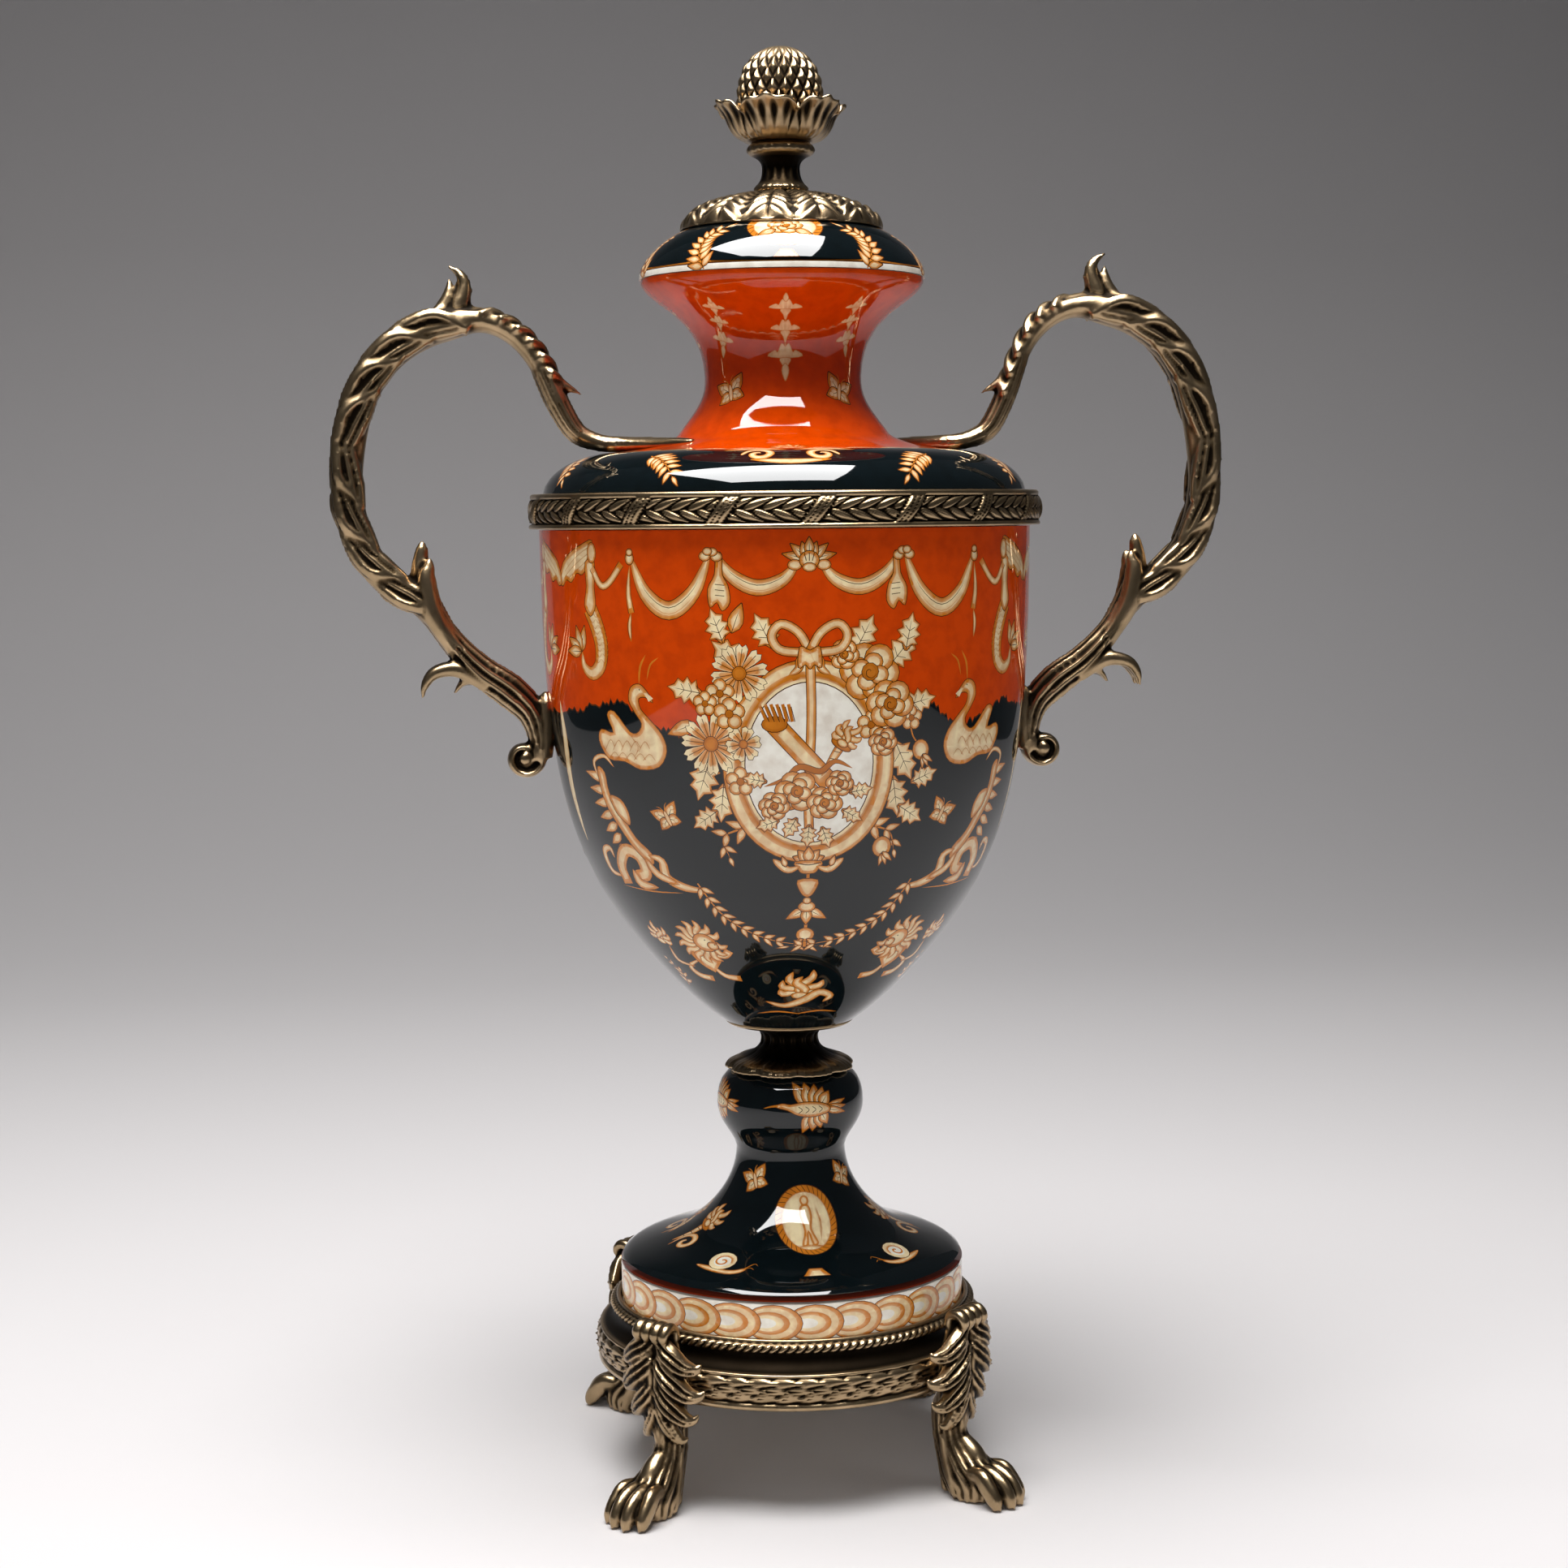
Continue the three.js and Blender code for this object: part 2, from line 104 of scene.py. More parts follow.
# %% Spin an outline and press relief into it
def turned(outline, wide_steps, cuts, name):
    """Spins an outline in a few wide steps, cuts each step finer and rounds the new points out."""
    bm = bmesh.new()
    verts = [bm.verts.new((max(r, 0), 0, z)) for r, z in outline]
    edges = [bm.edges.new(pair) for pair in zip(verts, verts[1:])]
    bmesh.ops.spin(
        bm, geom=verts + edges, axis=(0, 0, 1), cent=(0, 0, 0), angle=TAU, steps=wide_steps, use_merge=True
    )
    bmesh.ops.remove_doubles(bm, verts=bm.verts, dist=1e-4)
    bmesh.ops.recalc_face_normals(bm, faces=bm.faces)
    around = []
    for edge in bm.edges:
        a, b = edge.verts[0].co, edge.verts[1].co
        radius = a.xy.length
        if abs(a.z - b.z) < 1e-3 and abs(radius - b.xy.length) < 1e-3 and radius > 1e-3:
            around.append(edge)
    bmesh.ops.subdivide_edges(bm, edges=around, cuts=cuts)
    mesh = mesh_of(bm, name)
    xyz = coordinates(mesh)
    half_step = math.pi / wide_steps
    from_middle = np.arctan2(xyz[:, 1], xyz[:, 0]) % (2 * half_step) - half_step
    xyz[:, :2] *= (np.cos(from_middle) / math.cos(half_step))[:, None]
    set_coordinates(mesh, xyz)
    return mesh


def coordinates(mesh):
    xyz = np.zeros(len(mesh.vertices) * 3)
    mesh.vertices.foreach_get("co", xyz)
    return xyz.reshape(-1, 3)


def set_coordinates(mesh, xyz):
    mesh.vertices.foreach_set("co", xyz.ravel())
    mesh.update()


def press(mesh, relief):
    """Moves each vertex by relief(angle, radius, height) -> (outward, upward), in millimetres."""
    xyz = coordinates(mesh)
    r = np.hypot(xyz[:, 0], xyz[:, 1])
    angle = np.arctan2(xyz[:, 0], -xyz[:, 1])
    out, lift = relief(angle, r, xyz[:, 2])
    scale = 1 + out / np.maximum(r, 1e-3)
    xyz[:, 0] *= scale
    xyz[:, 1] *= scale
    xyz[:, 2] += lift
    set_coordinates(mesh, xyz)


def mesh_of(bm, name):
    mesh = bpy.data.meshes.new(name)
    bm.to_mesh(mesh)
    bm.free()
    return mesh


def keep(mesh, name, material, nodes):
    """Makes a finished piece from a mesh in millimetres."""
    mesh.transform(((MM, 0, 0, 0), (0, MM, 0, 0), (0, 0, MM, 0), (0, 0, 0, 1)))
    mesh.polygons.foreach_set("use_smooth", [True] * len(mesh.polygons))
    mesh.materials.clear()
    mesh.materials.append(material)
    piece = bpy.data.objects.new(name, mesh)
    bpy.context.scene.collection.objects.link(piece)
    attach(piece, "root")
    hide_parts(*nodes)
    print(name, len(mesh.polygons), "faces")
    return piece


# %% [markdown]
# ## Materials
# Bronze with an old patina is bright where hands rub it and nearly black in the hollows. That could be
# painted by hand, but here each bronze mesh stores how hollow it is at every point, and one material
# mixes its colour and its roughness by that attribute. Painted porcelain takes its colour from the paint
# attribute, under a clear glaze, whose low roughness gives sharp reflections.


# %% Small helpers for node materials
def new_material(name):
    material = bpy.data.materials.new(name)
    material.use_nodes = True
    nodes = material.node_tree.nodes
    return material, nodes, material.node_tree.links, nodes["Principled BSDF"]


def noise(nodes, links, scale, detail=4):
    where = nodes.new("ShaderNodeTexCoord")
    made = nodes.new("ShaderNodeTexNoise")
    made.inputs["Scale"].default_value = scale
    made.inputs["Detail"].default_value = detail
    links.new(where.outputs["Object"], made.inputs["Vector"])
    return made.outputs["Fac"]


def ramp(nodes, links, value, stops):
    made = nodes.new("ShaderNodeValToRGB")
    links.new(value, made.inputs["Fac"])
    line = made.color_ramp
    while len(line.elements) < len(stops):
        line.elements.new(0.5)
    for element, (place, colour) in zip(line.elements, stops):
        element.position = place
        element.color = (*colour, 1)
    return made.outputs["Color"]


def mixed(nodes, links, kind, factor, a, b):
    made = nodes.new("ShaderNodeMix")
    made.data_type = "RGBA"
    made.blend_type = kind
    if isinstance(factor, (int, float)):
        made.inputs["Factor"].default_value = factor
    else:
        links.new(factor, made.inputs["Factor"])
    for socket, value in (("A", a), ("B", b)):
        target = [s for s in made.inputs if s.name == socket and s.type == "RGBA"][0]
        if isinstance(value, tuple):
            target.default_value = (*value, 1)
        else:
            links.new(value, target)
    return [s for s in made.outputs if s.type == "RGBA"][0]


# %% Antiqued bronze
def bronze_material(name, bright, worn, dark):
    material, nodes, links, shader = new_material(name)
    hollow = nodes.new("ShaderNodeAttribute")
    hollow.attribute_name = "hollow"
    patch = noise(nodes, links, 90)
    body = ramp(nodes, links, hollow.outputs["Fac"], [(0.1, bright), (0.36, worn), (0.66, dark)])
    stain = ramp(nodes, links, patch, [(0.3, (0.62, 0.6, 0.52)), (0.7, (1.1, 1.06, 1.0))])
    links.new(mixed(nodes, links, "MULTIPLY", 0.75, body, stain), shader.inputs["Base Color"])
    rough = nodes.new("ShaderNodeMapRange")
    links.new(hollow.outputs["Fac"], rough.inputs["Value"])
    rough.inputs["To Min"].default_value = 0.28
    rough.inputs["To Max"].default_value = 0.62
    links.new(rough.outputs["Result"], shader.inputs["Roughness"])
    shader.inputs["Metallic"].default_value = 1
    bump = nodes.new("ShaderNodeBump")
    bump.inputs["Strength"].default_value = 0.12
    bump.inputs["Distance"].default_value = 0.0004
    links.new(noise(nodes, links, 1400, 3), bump.inputs["Height"])
    links.new(bump.outputs["Normal"], shader.inputs["Normal"])
    return material


bronze = bronze_material("antiqued_bronze", (0.44, 0.325, 0.2), (0.13, 0.088, 0.048), (0.01, 0.007, 0.0045))


# %% Painted and glazed porcelain
def porcelain_material(name):
    material, nodes, links, shader = new_material(name)
    paint = nodes.new("ShaderNodeAttribute")
    paint.attribute_name = "paint"
    wash = ramp(
        nodes, links, noise(nodes, links, 160, 5), [(0.32, (0.7, 0.58, 0.46)), (0.6, (1.08, 1.06, 1.0))]
    )
    links.new(
        mixed(nodes, links, "MULTIPLY", 0.45, paint.outputs["Color"], wash), shader.inputs["Base Color"]
    )
    shader.inputs["Roughness"].default_value = 0.035
    shader.inputs["IOR"].default_value = 1.5
    return material


porcelain = porcelain_material("painted_porcelain")

# %% [markdown]
# ## Painting on a curved pot
# The paint lies flush under the glaze, so each porcelain surface is unrolled flat: across is the angle
# times the widest radius, up is the distance along the outline. There every brush stroke is a flat closed
# outline. A constrained triangulation cuts the surface along the strokes, each triangle takes the colour
# of the last stroke over it, and the sheet is rolled back on. An operator can't cut such a sheet, so this
# one mesh is made from the triangulation. The front half is painted, and the back is the same half turned
# round.

# %% The painter's colours
PAINT = {
    "orange": (0.64, 0.058, 0.0003),
    "black": (0.003, 0.006, 0.0075),
    "cream": (0.95, 0.8, 0.5),
    "amber": (0.64, 0.21, 0.018),
    "gold": (0.5, 0.15, 0.01),
    "brown": (0.085, 0.026, 0.006),
    "rust": (0.24, 0.025, 0.004),
    "white": (0.93, 0.9, 0.82),
}
SHADED = ("brown", "amber", "cream")


# %% Strokes and shapes
def sized(points, wide, tall=None):
    """Points given as parts of a width and a height, which are one size when only `wide` is given."""
    return [(x * wide, y * (wide if tall is None else tall)) for x, y in points]


def ribbon(line, width, taper="both"):
    """The closed outline of a brush stroke along a line."""
    t = np.linspace(0, 1, len(line))
    shape = {
        "both": np.sin(math.pi * t) ** 0.6,
        "end": np.cos(t * math.pi / 2) ** 0.6,
        "start": np.sin(t * math.pi / 2) ** 0.6,
        "none": np.ones_like(t),
    }[taper]
    ahead = np.gradient(line, axis=0)
    ahead /= np.maximum(np.linalg.norm(ahead, axis=1, keepdims=True), 1e-9)
    side = np.stack([-ahead[:, 1], ahead[:, 0]], axis=1) * (np.maximum(shape, 0.06) * width / 2)[:, None]
    return np.vstack([line + side, (line - side)[::-1]])


def brush(points, width, taper="both", edge=0.3, colours=SHADED, steps=4, light=0.5):
    line = through(points, steps)
    strokes = [(colours[0], ribbon(line, width + 2 * edge, taper))]
    strokes.append((colours[1], ribbon(line, width, taper)))
    if len(colours) > 2:
        strokes.append((colours[2], ribbon(line[1:-1], width * light, taper)))
    return strokes


def pen(points, width=0.4, taper="both", colour="brown", steps=3):
    line = through(points, steps) if len(points) > 2 else np.array(points, float)
    return [(colour, ribbon(line, width, taper))]


def grown(outline, by):
    """A closed outline moved outward by a distance."""
    after = np.roll(outline, -1, axis=0)
    ahead = after - np.roll(outline, 1, axis=0)
    ahead /= np.maximum(np.linalg.norm(ahead, axis=1, keepdims=True), 1e-9)
    turn = np.sign(np.sum(outline[:, 0] * after[:, 1] - outline[:, 1] * after[:, 0]))
    return outline + turn * by * np.stack([ahead[:, 1], -ahead[:, 0]], axis=1)


ROUNDING = 3


def shaped(points, size=1.0, light=1.3, colours=SHADED, edge=0.35):
    """A rounded closed shape with a dark edge and a light middle."""
    ring = np.array(points, float) * size
    closed = through(np.vstack([ring[-1:], ring, ring[:2]]), ROUNDING)[ROUNDING : -ROUNDING - 1]
    made = [(colours[0], grown(closed, edge)), (colours[1], closed)]
    if len(colours) > 2:
        made.append((colours[2], grown(closed, -light)))
    return made


def oval(x, y, rx, ry, count=16):
    a = np.arange(count) / count * TAU
    return np.stack([x + rx * np.cos(a), y + ry * np.sin(a)], axis=1)


def disc(x, y, rx, ry, colours=SHADED, edge=0.35, count=14):
    sizes = (edge, 0, -0.35 * min(rx, ry))
    return [(c, oval(x, y, rx + s, ry + s, count)) for c, s in zip(colours, sizes)]


def moved(parts, x=0.0, y=0.0, turn=0.0, size=1.0, flip=False):
    a = math.radians(turn)
    spin = np.array([[math.cos(a), math.sin(a)], [-math.sin(a), math.cos(a)]])
    side = np.array([-1 if flip else 1, 1])
    return [(c, (p * size) @ spin * side + (x, y)) for c, p in parts]


def leaf(length, width, colours=SHADED, vein=True):
    """A pointed leaf along +x."""
    t = np.linspace(0, 1, 6)
    half = width / 2 * np.sin(math.pi * t**0.75)
    made = []
    grows, starts, stops = (0.3, 0, -0.2 * width), (-0.3, 0, 0.12 * length), (0.45, 0, -0.18 * length)
    for colour, grow, start, stop in zip(colours, grows, starts, stops):
        x = start + (length + stop - start) * t
        y = np.maximum(half + grow, 0.05)
        made.append((colour, np.vstack([np.stack([x, y], 1), np.stack([x, -y], 1)[::-1]])))
    if vein:
        rib = np.array([[0, 0], [length * 0.45, 0], [length * 0.85, 0]])
        made.append(("brown", ribbon(rib, 0.3, "end")))
    return made


def lobed_leaf(length):
    """A leaf with three pairs of toothed lobes, along +x."""
    half = [
        (0, 0.03), (0.16, 0.13), (0.22, 0.32), (0.34, 0.2), (0.48, 0.36), (0.58, 0.2), (0.74, 0.27),
        (0.82, 0.1), (1.02, 0)
    ]
    outline = np.array(half + [(x, -y) for x, y in half[-2::-1]]) * length
    made = [("brown", grown(outline, 0.35)), ("amber", outline), ("cream", grown(outline, -0.055 * length))]
    made += pen(sized([(0, 0), (0.4, 0), (0.85, 0)], length), 0.35, "end")
    for x, y in ((0.2, 0.18), (0.42, 0.2), (0.64, 0.15)):
        for side in (-1, 1):
            made += pen([((x - 0.12) * length, 0), (x * length, side * y * length)], 0.25, "none")
    return made


def daisy(radius, petals):
    """Notched petals round a seeded heart, deep amber inside and pale at their tips."""
    made = []
    wide = radius * 3.3 / petals
    half = [(0.1, 0.1), (0.6, 0.5), (0.86, 0.62), (1.0, 0.34)]
    outline = np.array(sized(half, radius, wide) + [(0.9 * radius, 0)] + sized(half[::-1], radius, -wide))
    petal = [("brown", grown(outline, 0.3)), ("cream", outline), ("amber", outline * (0.74, 0.7))]
    petal += pen(sized([(0.2, 0), (0.85, 0)], radius), 0.28, "none")
    for k in range(petals):
        made += moved(petal, turn=360 * k / petals + 10)
    return made + disc(0, 0, 0.24 * radius, 0.24 * radius, ("brown", "gold", "amber"), 0.3, 10)


def blossom(radius):
    """Five round petals, pale in the middle."""
    made = []
    for k in range(5):
        a = TAU * k / 5 + 0.3
        x, y = 0.56 * radius * math.cos(a), 0.56 * radius * math.sin(a)
        made += disc(x, y, 0.44 * radius, 0.44 * radius, SHADED, 0.3, 10)
    return made + disc(0, 0, 0.24 * radius, 0.24 * radius, ("brown", "gold"), 0.25, 8)


def rose(radius):
    """Two rings of round petals and a spiral heart."""
    made = []
    for ring, count in ((1, 6), (0.62, 4)):
        for k in range(count):
            a = TAU * k / count + ring * 2
            x, y = 0.56 * ring * radius * math.cos(a), 0.56 * ring * radius * math.sin(a)
            size = 0.5 * radius * ring + 0.4
            made += disc(x, y, size, size * 0.9, SHADED, 0.32, 12)
    made += disc(0, 0, 0.3 * radius, 0.3 * radius, ("brown", "gold", "amber"), 0.3, 10)
    spiral = [(0.045 * radius * k * math.cos(k), 0.045 * radius * k * math.sin(k)) for k in range(7)]
    return made + pen(spiral, 0.35)


def bud(size):
    """A round closed flower with a crown of sepals, on a stalk along -y."""
    made = pen(sized([(0, -1.5), (0.1, -0.9), (0, -0.4)], size), 0.6, "none", "amber")
    made += disc(0, 0, 0.5 * size, 0.56 * size)
    for turn in (62, 90, 118):
        made += moved(leaf(0.75 * size, 0.26 * size, vein=False), 0, 0.32 * size, turn)
    return made


def curl(size, turns=1.25, width=1.6, tail=1.0):
    """A scroll that winds in from its tail."""
    k = np.linspace(0, 1, int(8 * turns) + 2)
    a = math.pi - k * TAU * turns
    r = size * (1 - 0.82 * k)
    points = np.stack([r * np.cos(a), r * np.sin(a)], axis=1)
    points = np.vstack([[[-size * 1.05, -size * tail]], points])
    return brush(points, width, "both", 0.3, steps=3)


def branch(points, leaf_length, pairs, width=0.7, spread=42, taper=0.55, colours=SHADED):
    line = through(points, 8)
    made = [(colours[1], ribbon(line[::2], width, "end"))]
    for k in range(pairs):
        i = int((k + 0.6) / pairs * (len(line) - 2))
        ahead = line[i + 1] - line[i]
        heading = math.degrees(math.atan2(ahead[1], ahead[0]))
        length = leaf_length * (1 - taper * k / pairs)
        for side in (-1, 1):
            one = leaf(length, length * 0.42, colours, vein=False)
            made += moved(one, line[i][0], line[i][1], heading + side * spread)
    tip = line[-1] - line[-3]
    one = leaf(leaf_length * (1 - taper), leaf_length * 0.2, colours, vein=False)
    return made + moved(one, line[-1][0], line[-1][1], math.degrees(math.atan2(tip[1], tip[0])))


# %% Ribbons, bows and hanging things
def bow(size):
    """Two loops and two tails, with a gathered clasp over the middle."""
    made = []
    for side in (-1, 1):
        loop = [(0, 0), (0.3, 0.5), (0.75, 0.72), (1, 0.42), (0.8, 0.06), (0.3, -0.02), (0, 0)]
        made += brush(sized(loop, side * size, size), size * 0.22, "none", 0.35)
        tail = [(0, 0), (0.25, -0.2), (0.3, -0.45), (0.55, -0.62)]
        made += brush(sized(tail, side * size, size), size * 0.2, "both")
    clasp = [
        (-0.3, -0.42), (-0.12, -0.34), (0, -0.46), (0.12, -0.34), (0.3, -0.42), (0.26, 0.12), (0, 0.02),
        (-0.26, 0.12),
    ]
    made += shaped(clasp, size, 0.09 * size)
    for side in (-1, 1):
        made += pen(sized([(side * 0.1, -0.3), (side * 0.08, 0)], size), 0.35)
    return made


def knot(size):
    """A small gathered knot of cloth."""
    made = []
    for x, y, r in ((-0.55, -0.3, 0.5), (0.5, -0.25, 0.5), (-0.2, 0.1, 0.42), (0.25, 0.15, 0.4)):
        made += disc(x * size, y * size, r * size, r * 0.8 * size, SHADED, 0.3, 10)
    return made


def drape_end(length, width):
    """A hanging end of cloth, narrow above and folded below."""
    points = [
        (-0.1, 0.02), (0.12, 0.02), (0.2, -0.35), (0.5, -0.62), (0.42, -0.95), (0.12, -0.86), (-0.1, -1.02),
        (-0.42, -0.86), (-0.34, -0.55), (-0.12, -0.35)
    ]
    made = shaped(sized(points, width, length), 1, 0.13 * width)
    for y in (-0.55, -0.65, -0.75):
        made += pen([(-0.2 * width, y * length), (0.2 * width, (y + 0.02) * length)], 0.28, "none")
    return made


def swag(x0, y0, x1, y1, sag, width):
    """Cloth that hangs from one point to another and sags between them."""
    points = [
        (x0, y0),
        (x0 * 0.8 + x1 * 0.2, y0 * 0.8 + y1 * 0.2 - sag * 0.68),
        ((x0 + x1) / 2, (y0 + y1) / 2 - sag),
        (x0 * 0.2 + x1 * 0.8, y0 * 0.2 + y1 * 0.8 - sag * 0.68),
        (x1, y1),
    ]
    made = brush(points, width, "both", 0.35, steps=5, light=0.55)
    inner = through(points, 4) + (0, width * 0.16)
    return (
        made
        + [
            ("brown", ribbon(inner[3:-3], 0.3, "both")),
            ("amber", ribbon(inner[4:-4] - (0, width * 0.36), 0.4, "both"))
        ]
    )


def flame(size):
    """Tongues of fire, the middle ones tallest."""
    made = []
    tongues = ((-62, 0.6), (60, 0.62), (-38, 0.8), (36, 0.84), (-16, 1.0), (12, 1.08), (-2, 0.8))
    for k, (lean, height) in enumerate(tongues):
        way = (-1) ** k
        bent = [(0, 0), (0.13 * way, 0.35 * height), (-0.1 * way, 0.72 * height), (0.06, height)]
        made += moved(brush(sized(bent, size), size * 0.24, "both", 0.25, steps=3), turn=-lean)
    return made + disc(0, 0.05 * size, 0.22 * size, 0.14 * size, SHADED, 0.3, 10)


def torch(size):
    """A burning torch that points straight up."""
    made = brush(sized([(0, -1.1), (0, -0.5), (0, 0)], size), 0.26 * size, "start")
    for y in (-0.25, -0.5, -0.75):
        made += pen([(-0.1 * size, y * size), (0.1 * size, (y + 0.06) * size)], 0.3, "none")
    made += disc(0, 0.02 * size, 0.34 * size, 0.12 * size, ("brown", "gold", "amber"))
    return made + moved(flame(size * 0.8), y=0.05 * size)


def bell(size):
    """Three hanging petals under a small cap."""
    made = []
    for turn, length in ((-148, 0.95), (-32, 0.95), (-90, 0.8)):
        made += moved(leaf(length * size, 0.46 * size), 0, 0.18 * size, turn)
    made += disc(0, 0.3 * size, 0.34 * size, 0.26 * size)
    return made + disc(0, 0.6 * size, 0.16 * size, 0.16 * size, SHADED, 0.3, 10)


def palmette(size):
    """Five lobes over a fluted cup."""
    made = []
    for turn in (160, 20, 130, 50, 90):
        made += moved(leaf(0.62 * size, 0.42 * size, vein=False), 0, 0, turn)
    cup = [(-0.5, 0), (0.5, 0), (0.36, -0.35), (0.2, -0.5), (-0.2, -0.5), (-0.36, -0.35)]
    made += shaped(cup, size, 0.12 * size)
    made += pen(sized([(-0.48, -0.05), (0, -0.14), (0.48, -0.05)], size), 0.45, "none")
    for side in (-1, 1):
        arm = [
            (side * 0.3 * size, -0.2 * size), (side * 0.75 * size, -0.35 * size),
            (side * 1.1 * size, -0.1 * size), (side * 1.35 * size, 0.12 * size)
        ]
        made += brush(arm, 0.3 * size, "both")
        made += moved(
            leaf(0.45 * size, 0.22 * size, vein=False), side * 0.85 * size, -0.2 * size, 90 - side * 20
        )
    return made


# %% Creatures
def butterfly(size):
    """Four spotted wings round a slim body."""
    made = []
    for side in (-1, 1):
        for turn, length, wide in ((40, 1.0, 0.62), (-32, 0.72, 0.6)):
            made += moved(leaf(length * size, wide * size), turn=turn, flip=side < 0)
            spot = disc(0.64 * length * size, 0, 0.1 * size, 0.1 * size, ("gold", "cream"), 0.15, 8)
            made += moved(spot, turn=turn, flip=side < 0)
        made += pen(
            [(0, 0.3 * size), (side * 0.16 * size, 0.62 * size), (side * 0.34 * size, 0.74 * size)], 0.45,
            "end", "amber"
        )
    return made + disc(0, 0, 0.11 * size, 0.42 * size, ("brown", "amber", "cream"), 0.25, 10)


def swan(size):
    """A swimming swan that faces right, with its wings half raised."""
    points = [
        (-0.5, -0.1), (-0.44, 0.03), (-0.24, 0.0), (-0.32, 0.2), (-0.2, 0.24), (0.02, 0.02), (0.14, 0.02),
        (0.2, 0.12),
        (0.12, 0.24), (0.04, 0.38), (0.08, 0.52), (0.2, 0.56), (0.3, 0.48), (0.37, 0.36), (0.28, 0.42),
        (0.18, 0.4),
        (0.2, 0.28), (0.32, 0.16), (0.46, 0.0), (0.5, -0.18), (0.38, -0.36), (0.12, -0.4), (-0.1, -0.32),
        (-0.36, -0.3),
    ]
    made = shaped(points, size, 0.045 * size)
    for k in range(5):
        x = (-0.4 + 0.13 * k) * size
        made += pen(
            [(x, -0.2 * size), (x + 0.1 * size, -0.08 * size), (x + 0.16 * size, -0.16 * size)], 0.4,
            "none", "gold"
        )
        made += pen(
            [
                (x + 0.05 * size, -0.3 * size), (x + 0.15 * size, -0.22 * size),
                (x + 0.22 * size, -0.29 * size)
            ],
            0.35, "none", "gold"
        )
    made += pen(sized([(0.0, 0.0), (0.12, -0.14), (0.06, -0.26)], size), 0.5, "both", "gold")
    return made + [("brown", oval(0.2 * size, 0.5 * size, 0.35, 0.35, 6))]


def winged_beast(size):
    """A seated winged animal that faces right, with a crest, a long neck and a curled tail."""
    made = []
    for k in range(7):
        y = 0.36 - 0.085 * k
        feather = leaf((0.26 - 0.02 * k) * size, 0.075 * size, ("brown", "amber", "cream"), False)
        made += moved(feather, (-0.22 + 0.012 * k) * size, y * size, 168 + 9 * k)
    tuft = [(-0.3, 0.36), (-0.34, 0.5), (-0.2, 0.55), (-0.1, 0.47)]
    made += brush(sized(tuft, size), 0.035 * size, "both", 0.2)
    tail = [(-0.3, -0.44), (-0.44, -0.4), (-0.46, -0.24), (-0.36, -0.2), (-0.33, -0.28)]
    made += brush(sized(tail, size), 0.06 * size, "both")
    hind = [(-0.26, -0.5), (-0.27, -0.34), (-0.16, -0.2), (-0.02, -0.24), (0.0, -0.38), (-0.1, -0.42)]
    made += brush(sized(hind, size), 0.11 * size, "none", 0.3)
    made += brush(sized([(-0.14, -0.36), (-0.1, -0.48), (0.08, -0.5)], size), 0.08 * size, "both")
    trunk = [
        (-0.3, 0.46), (-0.22, 0.42), (-0.2, 0.26), (-0.1, 0.1), (0.0, -0.08), (0.12, -0.2), (0.1, -0.3),
        (-0.02, -0.2), (-0.16, 0.0), (-0.26, 0.16), (-0.3, 0.32)
    ]
    made += shaped(trunk, size, 0.035 * size)
    fore = [(0.08, -0.22), (0.2, -0.26), (0.2, -0.4), (0.34, -0.48), (0.54, -0.5)]
    made += brush(sized(fore, size), 0.085 * size, "both")
    made += brush(sized([(0.04, -0.24), (0.12, -0.38), (0.3, -0.46)], size), 0.07 * size, "both")
    head = [(-0.2, 0.24), (-0.08, 0.22), (-0.02, 0.12), (-0.03, 0.02), (-0.1, 0.06), (-0.16, 0.12)]
    made += shaped(head, size, 0.025 * size)
    return made + pen(sized([(-0.34, -0.52), (0.0, -0.54), (0.3, -0.53)], size), 0.7, "both", "amber")


def lion(size):
    """A rearing lion with a large wavy mane, facing right."""
    made = []
    paws = (
        [(-0.1, -0.1), (-0.4, -0.3), (-0.3, -0.5), (-0.05, -0.55)],
        [(0.05, -0.2), (0.2, -0.45), (0.45, -0.5)],
        [(0.1, 0.05), (0.35, 0.0), (0.5, 0.14)],
    )
    for paw in paws:
        made += brush(sized(paw, size), 0.13 * size, "start", 0.3)
    made += brush(sized([(-0.1, 0.1), (0.0, -0.12), (0.16, -0.26)], size), 0.34 * size, "none")
    made += brush(sized([(-0.3, -0.3), (-0.62, -0.2), (-0.66, 0.12)], size), 0.07 * size, "both")
    wave = [(0, 0), (0.2, 0.05), (0.34, -0.03), (0.46, 0.04)]
    lock = brush(sized(wave, size), 0.12 * size, "both", 0.22, steps=3)
    for k in range(13):
        made += moved(lock, 0.06 * size, 0.28 * size, 28 + 27 * k)
    made += disc(0.14 * size, 0.28 * size, 0.2 * size, 0.19 * size)
    made += disc(0.26 * size, 0.22 * size, 0.09 * size, 0.08 * size)
    made.append(("brown", oval(0.16 * size, 0.34 * size, 0.4, 0.4, 6)))
    made.append(("brown", oval(0.3 * size, 0.25 * size, 0.45, 0.35, 6)))
    return made


